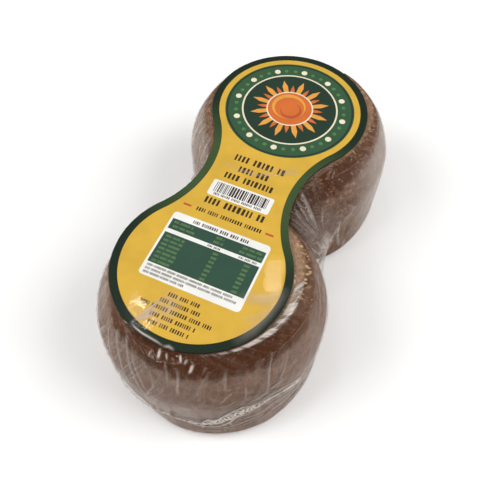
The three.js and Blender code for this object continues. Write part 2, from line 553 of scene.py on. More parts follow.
@dataclass(frozen=True)
class CastPanela:
    """Whole cane sugar, poured hot into a mould and set.

    The eye gets a matt brown mass of fine crystals, nearly black-brown where the skin is damp
    and tan where it has dried, with pale flecks, and golden grains where the rim has crumbled,
    with painted shade in the gaps between the grains.
    """

    deep: str = "#553A2C"
    body: str = "#664939"
    pale: str = "#7A5A48"
    dry: str = "#A18268"
    damp: str = "#452410"
    gold: str = "#D9B888"
    crystal: str = "#C9AC94"
    mottle_mm: float = 2.6
    grain_mm: float = 0.6
    speck_mm: float = 0.7

    def build(self) -> Material:
        """Makes the material.

        Returns:
            A material that reads the piece's damp, dry, crumb and fleck values.
        """
        material, tree = new_material("cast_panela")
        add = partial(add_node, tree)
        place = add("TexCoord").outputs["Object"]
        sizes = (self.mottle_mm, self.grain_mm, self.speck_mm)
        mottles, grains, flecks = ({"Vector": place, "Scale": 1 / (size * MM)} for size in sizes)
        mottle = add("TexNoise", {**mottles, "Detail": 5.0, "Roughness": 0.66})
        grain = add("TexNoise", {**grains, "Detail": 3.0, "Roughness": 0.7})
        specks = add("TexVoronoi", flecks)
        named = ("damp", "dry", "crumb", "fleck")
        damp, dry, crumb, fleck = (add("Attribute", attribute_name=n).outputs["Fac"] for n in named)

        tone = add("ValToRGB", {"Fac": mottle})
        stops = tone.color_ramp.elements
        stops[0].position, stops[0].color = 0.3, linear(self.deep)
        stops[1].position, stops[1].color = 0.72, linear(self.pale)
        stops.new(0.5).color = linear(self.body)
        uneven = add("MapRange", {"Value": mottle, 1: 0.3, 2: 0.65, 3: 0.6, 4: 1.0})
        dried = add("Math", {0: dry, 1: uneven}, operation="MULTIPLY")

        # Each state of the skin lies over the one before it. The damp share also carries painted shade in
        # the gaps between the rim's crumbs.
        colour = tone.outputs["Color"]
        for share, over in ((dried, self.dry), (damp, self.damp), (crumb, self.gold)):
            mixed = add("Mix", {"Factor": share, "A": colour, "B": linear(over)}, data_type="RGBA")
            colour = mixed.outputs["Result"]
        shade = add("MapRange", {"Value": grain, 1: 0.36, 2: 0.64, 3: 0.7, 4: 1.3})
        grained = add("HueSaturation", {"Color": colour, "Value": shade})
        # Pale crystals show in patches, each near the middle of its own cell.
        lit = add("MapRange", {"Value": specks, 1: 0.3, 2: 0.2, 3: 0.0, 4: 1.0})
        patches = add("MapRange", {"Value": mottle, 1: 0.5, 2: 0.58, 3: 0.0, 4: 1.0})
        for share in (patches, fleck):
            lit = add("Math", {0: lit, 1: share}, operation="MULTIPLY")
        crystal = linear(self.crystal)
        flecked = add("Mix", {"Factor": lit, "A": grained, "B": crystal}, data_type="RGBA")
        inputs = {
            "Base Color": flecked.outputs["Result"],
            "Roughness": add("MapRange", {"Value": damp, 1: 0.0, 2: 1.0, 3: 0.82, 4: 0.5}),
            "Normal": add("Bump", {"Height": grain, "Distance": 0.22 * MM, "Strength": 0.6}),
            "IOR": 1.5,
            # The film lies close on it, so it hardly shines of its own.
            "Specular IOR Level": 0.05,
        }
        close_material(tree, add("BsdfPrincipled", inputs))
        return material


@dataclass(frozen=True)
class SugarBlock:
    """One cast sugar block, with its crumbled rim, pits and damp skin."""

    end: End
    form: CastForm
    place: PackPlace
    columns: int = 520
    heel_rows: int = 8
    side_rows: int = 40
    shoulder_rows: int = 38
    top_rows: int = 40
    foot_rows: int = 6
    lift: float = 0.15
    rim_band: float = 1.15
    crumb_depth: float = 0.7
    crumb_mm: float = 0.95
    pit_mm: float = 2.6
    pit_depth: float = 0.28

    @property
    def node(self) -> str:
        """The frame node that the block stands for."""
        return "panela_near" if self.end is End.NEAR else "panela_far"

    def rows(self) -> tuple[Array, Array, Array]:
        """The rings' heights, their share of the full radius, and their way from the rim.

        Returns:
            Three columns of numbers, from the foot's middle round to the flat top's. The way
            from the rim is measured along the surface, and is negative on the flat top.
        """
        form = self.form
        foot = np.linspace(0.08, 1, self.foot_rows, endpoint=False)
        side = form.rings(self.heel_rows, self.side_rows, self.shoulder_rows)
        top = np.linspace(1, 0.04, self.top_rows)
        z = np.concatenate([0 * foot, side, form.height + 0 * top])
        share = np.concatenate([foot, 1 + 0 * side, top])
        across = form.plain_radius(z) * share
        steps = np.hypot(np.diff(across), np.diff(z))
        way = np.concatenate([[0], np.cumsum(steps)])
        rim = way[len(z) - self.top_rows]
        return z[:, None], share[:, None], (rim - way)[:, None]

    def surface(self) -> tuple[Array, dict[str, Array]]:
        """Works out the block's points and what its finish reads.

        The plain ring at each height takes the casting's unevenness. Crumbs, pits and a fine
        roughness then move each point along its normal, inwards but for the proudest grains.

        Returns:
            The points as (rows, columns, 3), and what the finish reads, by name.
        """
        form, seed = self.form, self.end.seed
        z, share, way = self.rows()
        angle = np.arange(self.columns)[None, :] * TURN / self.columns
        radius = (form.plain_radius(z) + form.unevenness(self.end, angle, z)) * share
        rim = self.end.rim
        beyond = way + rim.inset(angle)
        slumped = rim.slump * rim.drift(angle) * smooth(beyond / 4) * smooth((z - 34) / 10)
        tall = np.where(z < 1, np.maximum(z, self.lift), z) - slumped
        local = np.stack([radius * np.cos(angle), radius * np.sin(angle), tall], -1)
        normal = grid_normals(local)

        around = np.stack([np.cos(angle), np.sin(angle)], -1) * form.radius
        patchy = 0.75 + 0.25 * soft_noise(around, 7.0, seed + 5)
        facing = smooth(1.6 - between(angle, rim.direction) / rim.half_angle)
        crumbly = patchy * facing * rim.coarse
        band = np.exp(-((beyond / self.rim_band) ** 2)) * crumbly
        near, own = grain_noise(local, self.crumb_mm, seed + 50)
        crumb = smooth((0.62 - near) / 0.45) * (0.35 + 0.65 * own)
        fine = soft_noise(local, 1.1, seed + 60) * 0.05 + soft_noise(local, 3.7, seed + 61) * 0.08
        hole, which = grain_noise(local, self.pit_mm, seed + 70)
        pits = smooth((0.34 - hole) / 0.2) * (which > 0.7)
        inward = self.crumb_depth * band * (1 - crumb) + self.pit_depth * pits + 0.12
        keep = smooth((z - 0.6) / 3)
        moved = local + normal * (keep * (fine - inward))[..., None]

        beside = smooth(1.5 - between(angle, rim.direction) / 0.85)
        inside = smooth(0.5 - beyond / 0.8 + 0.3 * soft_noise(local, 0.8, seed + 63)) * beside
        damp = form.damp(self.end, angle, z) * (0.94 + 0.06 * soft_noise(local, 1.6, seed + 62))
        damp = damp * (1 - inside)
        # Painted shade: the gaps between the rim's crumbs are darkened, carried in the damp value.
        gaps = 0.75 * band * smooth((0.5 - crumb) / 0.3)
        values = {
            "damp": np.maximum(damp * (1 - 0.8 * band), gaps),
            "dry": rim.dried * inside * smooth((z - 42.6) / 2.4)
            + 0.3 * smooth(1.5 - between(angle, math.pi) / 0.8) * (1 - damp),
            "crumb": np.sqrt(band) * smooth((crumb - 0.3) / 0.35) * (0.55 + 0.45 * own),
            "fleck": np.full_like(damp, self.end.damp.flecks),
        }
        return moved, {name: np.clip(value + 0 * damp, 0, 1) for name, value in values.items()}

    def build(self, finish: Material) -> None:
        """Makes the block.

        Args:
            finish: the sugar's material.
        """
        local, values = self.surface()
        middle = self.place.middle
        centre = np.array([middle[0], middle[1] + self.end.way * self.form.spacing / 2, 0])
        rows, columns = local.shape[:2]
        last = rows * columns
        poles = np.array([[0, 0, self.lift], [0, 0, local[-1, :, 2].mean()]])
        points = np.concatenate([local.reshape(-1, 3), poles]) + centre
        ring = np.arange(columns)
        beside = (ring + 1) % columns
        foot = np.stack([np.full(columns, last), beside, ring], -1)
        top = np.stack([np.full(columns, last + 1), ring + last - columns, beside + last - columns], -1)
        obj = new_mesh(self.node + "_sugar", points, [grid_quads(rows, columns), foot, top])
        for name, value in values.items():
            set_values(obj, name, np.append(value.ravel(), [0, 0]))
        dress(obj, finish, self.node)


# ---- the label


class Ink(Enum):
    """The printer's inks and the bare card, as sRGB."""

    CARD = "#E9E6DF"
    YELLOW = "#D0A73C"
    BORDER = "#0C2214"
    WAIST_BORDER = "#384D2A"
    FIELD = "#315439"
    DEEP = "#1E3528"
    LEAF = "#4E7A4A"
    PANEL = "#2C4B3C"
    PALE = "#63834F"
    WHITE = "#E8E7E2"
    CREAM = "#E6DCC0"
    AMBER = "#DE9A42"
    ORANGE = "#CC6A30"
    RUST = "#B4522A"
    BLACK = "#33271C"


@dataclass(frozen=True)
class Patch:
    """One printed field: its closed outline in mm, across and along the label, and its ink."""

    outline: Array
    ink: Ink


def rounded(low: Pair, high: Pair, radius: float = 0.0, steps: int = 4) -> Array:
    """The outline of a rectangle with round corners.

    Args:
        low: its lowest corner, across and along.
        high: its highest corner.
        radius: of its corners. At 0 they are square.
        steps: how many stretches make a corner.

    Returns:
        Its points, turning from across to along.
    """
    if radius <= 0:
        return np.array([low, (high[0], low[1]), high, (low[0], high[1])], float)
    quarter = np.linspace(0, math.pi / 2, steps + 1)
    corner = np.stack([np.cos(quarter), np.sin(quarter)], -1) * radius
    turned = []
    for k, at in enumerate([high, (low[0], high[1]), low, (high[0], low[1])]):
        inward = np.array([(-1, -1), (1, -1), (1, 1), (-1, 1)][k]) * radius
        c, s = math.cos(k * math.pi / 2), math.sin(k * math.pi / 2)
        turned.append(np.array(at) + inward + corner @ np.array([[c, s], [-s, c]]))
    return np.concatenate(turned)


def ring_points(centre: Pair, radius: Array, steps: int) -> Array:
    """Points round a centre, at one radius or at one for each of them."""
    angle = np.arange(steps) * TURN / steps
    return np.array(centre) + np.stack([np.cos(angle), np.sin(angle)], -1) * np.reshape(radius, (-1, 1))


def inside(points: Array, outline: Array) -> Array:
    """Which points lie inside an outline, by how often a level ray crosses it.

    Args:
        points: two coordinates to a point.
        outline: the closed outline's points.

    Returns:
        True for each point inside.
    """
    x, y = points[:, 0], points[:, 1]
    found = np.zeros(len(points), bool)
    for (ax, ay), (bx, by) in zip(outline, np.roll(outline, -1, axis=0)):
        if ay == by:
            continue
        crosses = (ay > y) != (by > y)
        found ^= crosses & (x < ax + (bx - ax) * (y - ay) / (by - ay))
    return found


@dataclass(frozen=True)
class CoatedCard:
    """Clay-coated card, offset printed.

    The eye gets flat ink with the faintest mottle, under a smooth coat that shines softly.
    """

    mottle_mm: float = 9.0
    fibre_mm: float = 0.6

    def build(self) -> Material:
        """Makes the material.

        Returns:
            A material that reads the piece's ink colours.
        """
        material, tree = new_material("coated_card")
        add = partial(add_node, tree)
        place = add("TexCoord").outputs["Object"]
        ink = add("Attribute", attribute_name="ink").outputs["Color"]
        mottle, fibre = (
            add("TexNoise", {"Vector": place, "Scale": 1 / (size * MM), "Detail": 2.0})
            for size in (self.mottle_mm, self.fibre_mm)
        )
        shade = add("MapRange", {"Value": mottle, 1: 0.3, 2: 0.7, 3: 0.93, 4: 1.07})
        inputs = {
            "Base Color": add("HueSaturation", {"Color": ink, "Value": shade}),
            "Roughness": 0.5,
            "Normal": add("Bump", {"Height": fibre, "Distance": 0.02 * MM, "Strength": 0.4}),
            "IOR": 1.5,
            # The film lies close on it, so its coat hardly shines of its own.
            "Specular IOR Level": 0.2,
        }
        close_material(tree, add("BsdfPrincipled", inputs))
        return material


@dataclass(frozen=True)
class LabelCard:
    """The waisted card across both flat tops, with its generic print."""

    place: PackPlace
    disc_radius: float = 28.5
    disc_spacing: float = 73.8
    waist_radius: float = 35.9
    border: float = 2.6
    ring: float = 2.2
    arc_steps: int = 90
    fill_mm: float = 2.4
    wave: float = 0.035
    wave_mm: float = 13.0
    rays: int = 12
    ray_base: float = 7.0
    beads: int = 36
    bead_ring: float = 19.8

    @property
    def across(self) -> float:
        """How far the waist curves' centres stand from the label's middle line."""
        reach = self.disc_radius + self.waist_radius
        return math.sqrt(reach**2 - (self.disc_spacing / 2) ** 2)

    @property
    def lift(self) -> float:
        """The angle at which a round end hands over to a waist curve."""
        return math.asin(self.disc_spacing / 2 / (self.disc_radius + self.waist_radius))

    def loop(self, segment: Array, share: Array, inset: float = 0.0) -> Array:
        """Points of the label's outline, moved inwards by a distance.

        Args:
            segment: 0 for the far end, 1 the -X waist, 2 the near end, 3 the +X waist.
            share: the way along that segment, from 0 to 1, turning from +X to +Y.
            inset: how far inside the outline.

        Returns:
            Points across and along, in the label's own axes. Each segment is an arc whose
            radius loses the inset at the ends and gains it at the waists.
        """
        half, lift = self.disc_spacing / 2, self.lift
        way = np.where(segment == 0, 1, -1)
        angle = share * (math.pi + 2 * lift) - lift + np.where(segment == 2, math.pi, 0)
        round_end = (self.disc_radius - inset) * np.stack([np.cos(angle), np.sin(angle)], -1)
        round_end = round_end + np.stack([0 * share, way * half + 0 * share], -1)
        side = np.where(segment == 1, -1, 1)
        slope = lift * (1 - 2 * share)
        out = side * (self.across - (self.waist_radius + inset) * np.cos(slope))
        hollow = np.stack([out, -side * (self.waist_radius + inset) * np.sin(slope)], -1)
        return np.where(((segment % 2) == 0)[..., None], round_end, hollow)

    def outline(self, inset: float = 0.0) -> Array:
        """The whole outline in order.

        Args:
            inset: how far inwards it is moved.

        Returns:
            Its points, across and along.
        """
        parts = []
        for segment in range(4):
            steps = self.arc_steps if segment % 2 == 0 else self.arc_steps // 2
            share = np.arange(steps) / steps
            parts.append(self.loop(np.full(steps, segment), share, inset))
        return np.concatenate(parts)

    def to_pack(self, flat: Array) -> Array:
        """Turns and moves points from the label's own axes to the pack's."""
        c, s = math.cos(self.place.label_turn), math.sin(self.place.label_turn)
        return flat @ np.array([[c, s], [-s, c]]) + self.place.label_middle

    def face_height(self, flat: Array) -> Array:
        """How high the card's face stands: its thickness over the blocks, and slow waves."""
        face = self.place.label_heights[1]
        return face + self.wave * (soft_noise(flat, self.wave_mm, 301) - 1)

    # -- the print

    def marks(
        self, middle: Pair, width: float, cap: float, seed: int, ink: Ink = Ink.BLACK
    ) -> list[Patch]:
        """A row of plain upright ticks, all of one height, in the place of a line of words.

        Args:
            middle: of the row, across and along.
            width: of the row.
            cap: the ticks' height.
            seed: of their widths and of how many stand together.
            ink: their colour.

        Returns:
            The ticks.
        """
        draws = Draws(seed)
        found: list[Patch] = []
        at, end = middle[0] - width / 2, middle[0] + width / 2
        low, high = middle[1] - cap / 2, middle[1] + cap / 2
        group = 3 + int(draws.next() * 5)
        while at < end - cap * 0.3:
            wide = min(cap * (0.22 + 0.2 * draws.next()), end - at)
            found.append(Patch(rounded((at, low), (at + wide, high)), ink))
            at += wide + cap * 0.24
            group -= 1
            if group == 0:
                at += cap * 0.5
                group = 4 + int(draws.next() * 6)
        return found

    def barcode(self, low: Pair, high: Pair) -> list[Patch]:
        """A white patch of upright bars with no meaning, over a row of small ticks.

        Args:
            low: its lowest corner, across and along.
            high: its highest corner.

        Returns:
            Its fields, the lowest first.
        """
        patch = [Patch(rounded(low, high, 0.8), Ink.WHITE)]
        draws = Draws(5)
        at = low[0] + 1.5
        foot, head = low[1] + 1.9, high[1] - 0.7
        while at < high[0] - 1.7:
            wide = (0.22, 0.34, 0.5, 0.72)[int(draws.next() * 4)]
            patch.append(Patch(rounded((at, foot), (at + wide, head)), Ink.BLACK))
            at += wide + (0.2, 0.3, 0.42)[int(draws.next() * 3)]
        middle = ((low[0] + high[0]) / 2, low[1] + 1.05)
        return patch + self.marks(middle, (high[0] - low[0]) * 0.8, 1.0, 9)

    def emblem(self, centre: Pair) -> list[Patch]:
        """A plain sun medallion: rays in two lengths round a disc, inside beads.

        Args:
            centre: its middle, across and along.

        Returns:
            Its fields, the lowest first.
        """
        radius = self.disc_radius - self.border - self.ring
        discs = (
            (radius, 96, Ink.FIELD),
            (radius * 0.985, 96, Ink.DEEP),
            (radius * 0.955, 96, Ink.FIELD),
            (17.6, 80, Ink.CREAM),
            (17.0, 80, Ink.DEEP),
        )
        found = [Patch(ring_points(centre, size, corners), ink) for size, corners, ink in discs]
        for offset, tip, half, ink in (
            (0.0, 14.6, 0.115, Ink.AMBER),
            (0.5, 12.2, 0.1, Ink.ORANGE),
        ):
            # A ray's corners, by their distance from the middle and their angle off its line.
            waist, side = 0.8 * tip, 0.75 * half
            far = np.array([self.ray_base, waist, tip, waist, self.ray_base])
            off = np.array([-half, -side, 0.0, side, half])
            for k in range(self.rays):
                a = TURN * (k + offset) / self.rays + off
                ray = far[:, None] * np.stack([np.cos(a), np.sin(a)], -1)
                found.append(Patch(ray + np.array(centre), ink))
        for across, along, size, corners, ink in (
            (0.0, 0.0, 8.6, 64, Ink.CREAM),
            (0.0, 0.0, 8.1, 64, Ink.ORANGE),
            (-0.7, 0.8, 6.2, 56, Ink.AMBER),
            (-0.2, 0.2, 5.4, 56, Ink.ORANGE),
            (0.8, -0.9, 3.9, 48, Ink.RUST),
            (0.3, -0.3, 3.4, 48, Ink.ORANGE),
        ):
            at = (centre[0] + across, centre[1] + along)
            found.append(Patch(ring_points(at, size, corners), ink))
        for k in range(self.beads):
            a = TURN * (k + 0.5) / self.beads
            at = (centre[0] + self.bead_ring * math.cos(a), centre[1] + self.bead_ring * math.sin(a))
            large = k % 3 == 0
            bead = ring_points(at, 1.15 if large else 0.75, 10)
            found.append(Patch(bead, Ink.CREAM if large else Ink.LEAF))
        return found

    def table(self, low: Pair, high: Pair) -> list[Patch]:
        """A white panel with two green fields, and rows of small ticks for its words.

        Args:
            low: the panel's lowest corner, across and along.
            high: its highest corner.

        Returns:
            Its fields, the lowest first.
        """
        left, right = low[0] + 0.75, high[0] - 0.75
        found = [Patch(rounded(low, high, 1.3), Ink.WHITE)]
        found += self.marks((0, high[1] - 1.45), 19.5, 1.25, 31)
        head, strip, body, foot = high[1] - 2.75, high[1] - 6.9, high[1] - 8.4, low[1] + 4.9
        found.append(Patch(rounded((left, strip), (right, head)), Ink.PANEL))
        found.append(Patch(rounded((left, foot), (right, body)), Ink.PANEL))
        found += self.marks((0.5, (strip + body) / 2), 4.5, 0.8, 33)
        found += self.marks((12.0, (strip + body) / 2), 6.0, 0.8, 34)
        pale = partial(self.marks, cap=0.85, ink=Ink.PALE)
        for k, (at, width) in enumerate(((-11.8, 7.0), (1.2, 3.0), (12.2, 6.6))):
            found += pale((at, head - 1.15), width, seed=40 + k)
            found += pale((at + 0.8 * (k == 0), head - 2.85), width * 1.15, seed=50 + k)
        rows = 7
        for row in range(rows):
            v = body - 1.3 - row * (body - foot - 1.6) / (rows - 0.6)
            width = 5.5 + 4.5 * Draws(60 + row).next()
            for middle, wide, seed in ((left + 1 + width / 2, width, 60), (2.2, 2.0, 70), (12.8, 2.0, 80)):
                found += pale((middle, v), wide, seed=seed + row)
        for row, width in enumerate((29.5, 31.0, 14.0)):
            v = foot - 0.95 - row * 1.35
            found += self.marks((left + 0.6 + width / 2, v), width, 0.85, 90 + row)
        return found

    def print_patches(self) -> list[Patch]:
        """Lays out the print.

        Returns:
            Every printed field, the lowest first.
        """
        half = self.disc_spacing / 2
        found = [Patch(self.outline(), Ink.BORDER), Patch(self.outline(self.border), Ink.YELLOW)]
        found += self.emblem((0.0, half))
        for middle, width, cap, seed in (
            ((0.6, 7.6), 18.5, 2.7, 21),
            ((0.2, 3.2), 11.0, 2.5, 22),
            ((0.3, -0.9), 18.0, 2.5, 23),
            ((0.2, -13.0), 21.0, 2.6, 24),
        ):
            found += self.marks(middle, width, cap, seed)
        found += self.barcode((-11.0, -10.8), (11.0, -4.0))
        found += self.marks((0.3, -17.6), 23.0, 1.5, 25)
        for side in (-1, 1):
            dash = rounded((side * 14.6 - 1.4, -18.0), (side * 14.6 + 1.4, -17.2))
            found.append(Patch(dash, Ink.RUST))
        found += self.table((-17.1, -46.8), (17.1, -21.5))
        for row, width in enumerate((10.5, 13.5, 24.0, 15.0, 13.5)):
            found += self.marks((0.4, -49.6 - 2.55 * row), width, 1.35, 26 + row)
        return found

    # -- the card

    def flat_mesh(self, patches: list[Patch]) -> tuple[Array, Array, list[Ink]]:
        """Cuts the face into triangles along every printed edge.

        A constrained Delaunay triangulation takes all outlines and a grid of points between
        them. A triangle has the ink of the last field that holds its middle.

        Args:
            patches: the printed fields, the lowest first.

        Returns:
            The points, the triangles, and each triangle's ink.
        """
        edge = self.outline()
        low, high = edge.min(0), edge.max(0)
        across, along = np.meshgrid(
            np.arange(low[0], high[0], self.fill_mm), np.arange(low[1], high[1], self.fill_mm)
        )
        fill = np.stack([across.ravel(), along.ravel()], -1)
        fill = fill[inside(fill, self.outline(0.8))]
        points, edges, count = [], [], 0
        for patch in patches:
            n = len(patch.outline)
            ring = np.arange(n)
            points.append(patch.outline)
            edges.append(np.stack([ring, (ring + 1) % n], -1) + count)
            count += n
        points.append(fill)
        coords = [Vector(p) for p in np.concatenate(points).tolist()]
        links = [tuple(e) for e in np.concatenate(edges).tolist()]
        found, _, faces, *_ = delaunay_2d_cdt(coords, links, [], 0, 1e-4, False)
        flat = np.array([tuple(p) for p in found])
        triangles = np.array([f for f in faces if len(f) == 3])
        middles = flat[triangles].mean(1)
        number = np.full(len(triangles), -1)
        for k, patch in enumerate(patches):
            lowest, highest = patch.outline.min(0), patch.outline.max(0)
            near = np.where(((middles >= lowest) & (middles <= highest)).all(1))[0]
            number[near[inside(middles[near], patch.outline)]] = k
        kept = number >= 0
        return flat, triangles[kept], [patches[k].ink for k in number[kept]]

    def build(self, finish: Material) -> None:
        """Makes the card: printed face, bare back, and the cut edge between them.

        Args:
            finish: the card's material.
        """
        flat, triangles, inks = self.flat_mesh(self.print_patches())
        used, triangles = np.unique(triangles, return_inverse=True)
        flat, triangles = flat[used], triangles.reshape(-1, 3)
        a, b, c = (flat[triangles[:, k]] for k in range(3))
        turned = np.cross(b - a, c - a) < 0
        triangles[turned] = triangles[turned][:, ::-1]
        where = self.to_pack(flat)
        low, high = self.place.label_heights
        face = self.face_height(flat)
        front = np.column_stack([where, face])
        back = np.column_stack([where, face - (high - low) + 0.02])
        sides = np.concatenate([triangles[:, [0, 1]], triangles[:, [1, 2]], triangles[:, [2, 0]]])
        count = len(flat)
        forward, backward = sides[:, 0] * count + sides[:, 1], sides[:, 1] * count + sides[:, 0]
        rim = sides[~np.isin(forward, backward)]
        wall = np.stack([rim[:, 0], rim[:, 0] + count, rim[:, 1] + count, rim[:, 1]], -1)
        obj = new_mesh(
            "label_card",
            np.concatenate([front, back]),
            [triangles, triangles[:, ::-1] + count, wall],
        )
        obj.data.polygons.foreach_set("use_smooth", np.zeros(len(obj.data.polygons), bool))
        plain, cut = linear(Ink.CARD.value), linear(Ink.BORDER.value)
        # The border's dark green turns lighter towards the waist.
        waist = smooth(1.35 - np.abs(flat[triangles][..., 1]) / 25)[..., None]
        waist = waist * np.array([ink is Ink.BORDER for ink in inks])[:, None, None]
        printed = np.array([linear(ink.value) for ink in inks])[:, None]
        printed = printed + (np.array(linear(Ink.WAIST_BORDER.value)) - printed) * waist
        corners = np.concatenate(
            [
                printed.reshape(-1, 4),
                np.tile(plain, (len(triangles) * 3, 1)),
                np.tile(cut, (len(wall) * 4, 1)),
            ]
        )
        layer = obj.data.color_attributes.new("ink", "FLOAT_COLOR", "CORNER")
        layer.data.foreach_set("color", corners.astype(np.float32).ravel())
        dress(obj, finish, "label")


# ---- the film


@dataclass(frozen=True)
class ClearShrinkFilm:
    """Polyolefin shrink film, blown clear and drawn tight with hot air.

    The eye gets sharp small highlights over a clear skin, a milky haze where the film is
    creased, doubled or stands off what it wraps, and dark slits between doubled folds, whose dark
    is painted shade. A clear stretch covers only as much as its two faces mirror, so what lies
    under it keeps its depth.
    """

    milky: str = "#CFC3B9"
    # The dark brown of the slits and the seal's pockets: painted shade.
    slit_shade: str = "#37271F"
    mirrored: float = 0.022
    grazing: float = 0.4
    thread_mm: Pair = (3.0, 30.0)
    streak_mm: Pair = (0.8, 11.0)
    patch_mm: Pair = (11.0, 17.6)
    crease_mm: Pair = (2.2, 8.8)
    pocket_mm: Pair = (1.7, 1.15)
    pocket_turn: float = 0.35
    thread_share: float = 0.8
    streak_share: float = 0.12

    def build(self) -> Material:
        """Makes the material.

        Returns:
            A material that reads the piece's haze, pleat, slit shade and seal values and its unrolled map.
        """
        material, tree = new_material("clear_shrink_film")
        add = partial(add_node, tree)
        named = ("haze", "pleat", "slit_shade", "seal")
        haze, pleat, slit_shade, seal = (add("Attribute", attribute_name=n).outputs["Fac"] for n in named)
        unrolled = add("UVMap", uv_map="unrolled")
        # Each pattern lies on the unrolled film, in cells of so many mm round and down.
        sizes = (self.thread_mm, self.patch_mm, self.streak_mm, self.crease_mm, self.pocket_mm)
        scales = [(MAP_MM / across, MAP_MM / down, 1) for across, down in sizes]
        threads, patches, streaks, creases, pockets = (
            {"Vector": add("Mapping", {"Vector": unrolled, "Scale": scale}), "Scale": 1.0}
            for scale in scales
        )

        # Long threads lie where one stretched noise crosses its middle value.
        field = add("TexNoise", {**threads, "Detail": 1.5, "Roughness": 0.5, "Distortion": 0.6})
        off = add("Math", {0: field, 1: 0.5}, operation="SUBTRACT")
        off = add("Math", {0: off}, operation="ABSOLUTE")
        thread = add("MapRange", {"Value": off, 1: 0.0, 2: 0.03, 3: 1.0, 4: 0.0})
        patch = add("MapRange", {"Value": add("TexNoise", patches), 1: 0.42, 2: 0.6, 3: 0.15, 4: 1.0})
        thread = add("Math", {0: thread, 1: patch}, operation="MULTIPLY")
        streak = add("TexNoise", {**streaks, "Detail": 2.0, "Distortion": 0.3})
        streak = add("MapRange", {"Value": streak, 1: 0.5, 2: 0.75, 3: 0.0, 4: 1.0})
        fine = add("Math", {0: streak, 1: self.streak_share}, operation="MULTIPLY")
        fine = add("Math", {0: thread, 1: self.thread_share, 2: fine}, operation="MULTIPLY_ADD")
        veil = add("Math", {0: fine, 1: pleat, 2: haze}, operation="MULTIPLY_ADD")

        # The crumpled seal is a chain of small doubled pockets, with pale rims and insides darkened with
        # painted shade.
        pockets["Vector"].inputs["Rotation"].default_value = (0, 0, self.pocket_turn)
        rims = add("TexVoronoi", pockets, feature="DISTANCE_TO_EDGE")
        rim = add("MapRange", {"Value": rims, 1: 0.1, 2: 0.2, 3: 1.0, 4: 0.0})
        rim = add("Math", {0: rim, 1: seal}, operation="MULTIPLY")
        veil = add("Math", {0: rim, 1: 0.7, 2: veil}, operation="MULTIPLY_ADD")
        veil = add("Math", {0: veil, 1: 0.95}, operation="MINIMUM")
        # Painted shade: the pockets' insides take the slits' dark.
        pocket_shade = add("MapRange", {"Value": rims, 1: 0.18, 2: 0.28, 3: 0.0, 4: 0.75})
        pocket_shade = add("Math", {0: pocket_shade, 1: seal}, operation="MULTIPLY")
        slit_shade = add("Math", {0: slit_shade, 1: pocket_shade}, operation="MAXIMUM")
        slit_shade_cover = add("Math", {0: slit_shade, 1: 0.85}, operation="MULTIPLY")

        crease = add("TexNoise", {**creases, "Detail": 2.0})
        relief = add("Math", {0: crease, 1: 0.08}, operation="MULTIPLY")
        for part in (thread, streak, crease):
            relief = add("Math", {0: part, 1: pleat, 2: relief}, operation="MULTIPLY_ADD")
        bump = add("Bump", {"Height": relief, "Distance": 0.16 * MM, "Strength": 0.8})
        facing = add("LayerWeight", {"Blend": 0.5, "Normal": bump}).outputs["Facing"]
        mirror = add("Math", {0: facing, 1: 5.0}, operation="POWER")
        mirror = add("Math", {0: mirror, 1: self.grazing, 2: self.mirrored}, operation="MULTIPLY_ADD")

        # What passes the haze, the mirrored faces and the slits is seen. The rest is covered.
        passed = 1.0
        for stop in (veil, mirror, slit_shade_cover):
            left = add("Math", {0: 1.0, 1: stop}, operation="SUBTRACT")
            passed = add("Math", {0: left, 1: passed}, operation="MULTIPLY")
        alpha = add("Math", {0: 1.0, 1: passed}, operation="SUBTRACT")
        # The base colour turns to the slits' dark where they cover: painted shade.
        covers = add("Math", {0: slit_shade_cover, 1: veil}, operation="ADD")
        covers = add("Math", {0: covers, 1: 0.01}, operation="ADD")
        slit_shade_share = add("Math", {0: slit_shade_cover, 1: covers}, operation="DIVIDE")
        tones = {"A": linear(self.milky), "B": linear(self.slit_shade)}
        inputs = {
            "Base Color": add("Mix", {"Factor": slit_shade_share, **tones}, data_type="RGBA").outputs["Result"],
            "Metallic": add("Math", {0: mirror, 1: alpha}, operation="DIVIDE"),
            "Roughness": add("MapRange", {"Value": veil, 1: 0.0, 2: 0.7, 3: 0.045, 4: 0.4}),
            "Alpha": alpha,
            "Normal": bump,
            "IOR": 1.5,
        }
        close_material(tree, add("BsdfPrincipled", inputs))
        return material


@dataclass(frozen=True)
class Web:
    """How the film spans the waist on one side, by its reach from the pack's middle plane."""

    top: float
    widest: float
    tuck: float
    widest_depth: float = 17.0
    slope_power: float = 1.15
    tuck_power: float = 0.55

    def reach(self, z: Array, height: float) -> Array:
        """The reach at a height: a near-straight slope out to the widest, then a tuck under.

        Args:
            z: the heights.
            height: of the blocks.

        Returns:
            The reach at each height.
        """
        depth = height - z
        up = np.clip(1 - depth / self.widest_depth, 0, 1)
        slope = (1 - up**self.slope_power) ** (1 / self.slope_power)
        down = np.clip((depth - self.widest_depth) / (height - self.widest_depth), 0, 1)
        over = self.top + (self.widest - self.top) * slope
        return np.where(depth < self.widest_depth, over, self.widest - self.tuck * down**self.tuck_power)


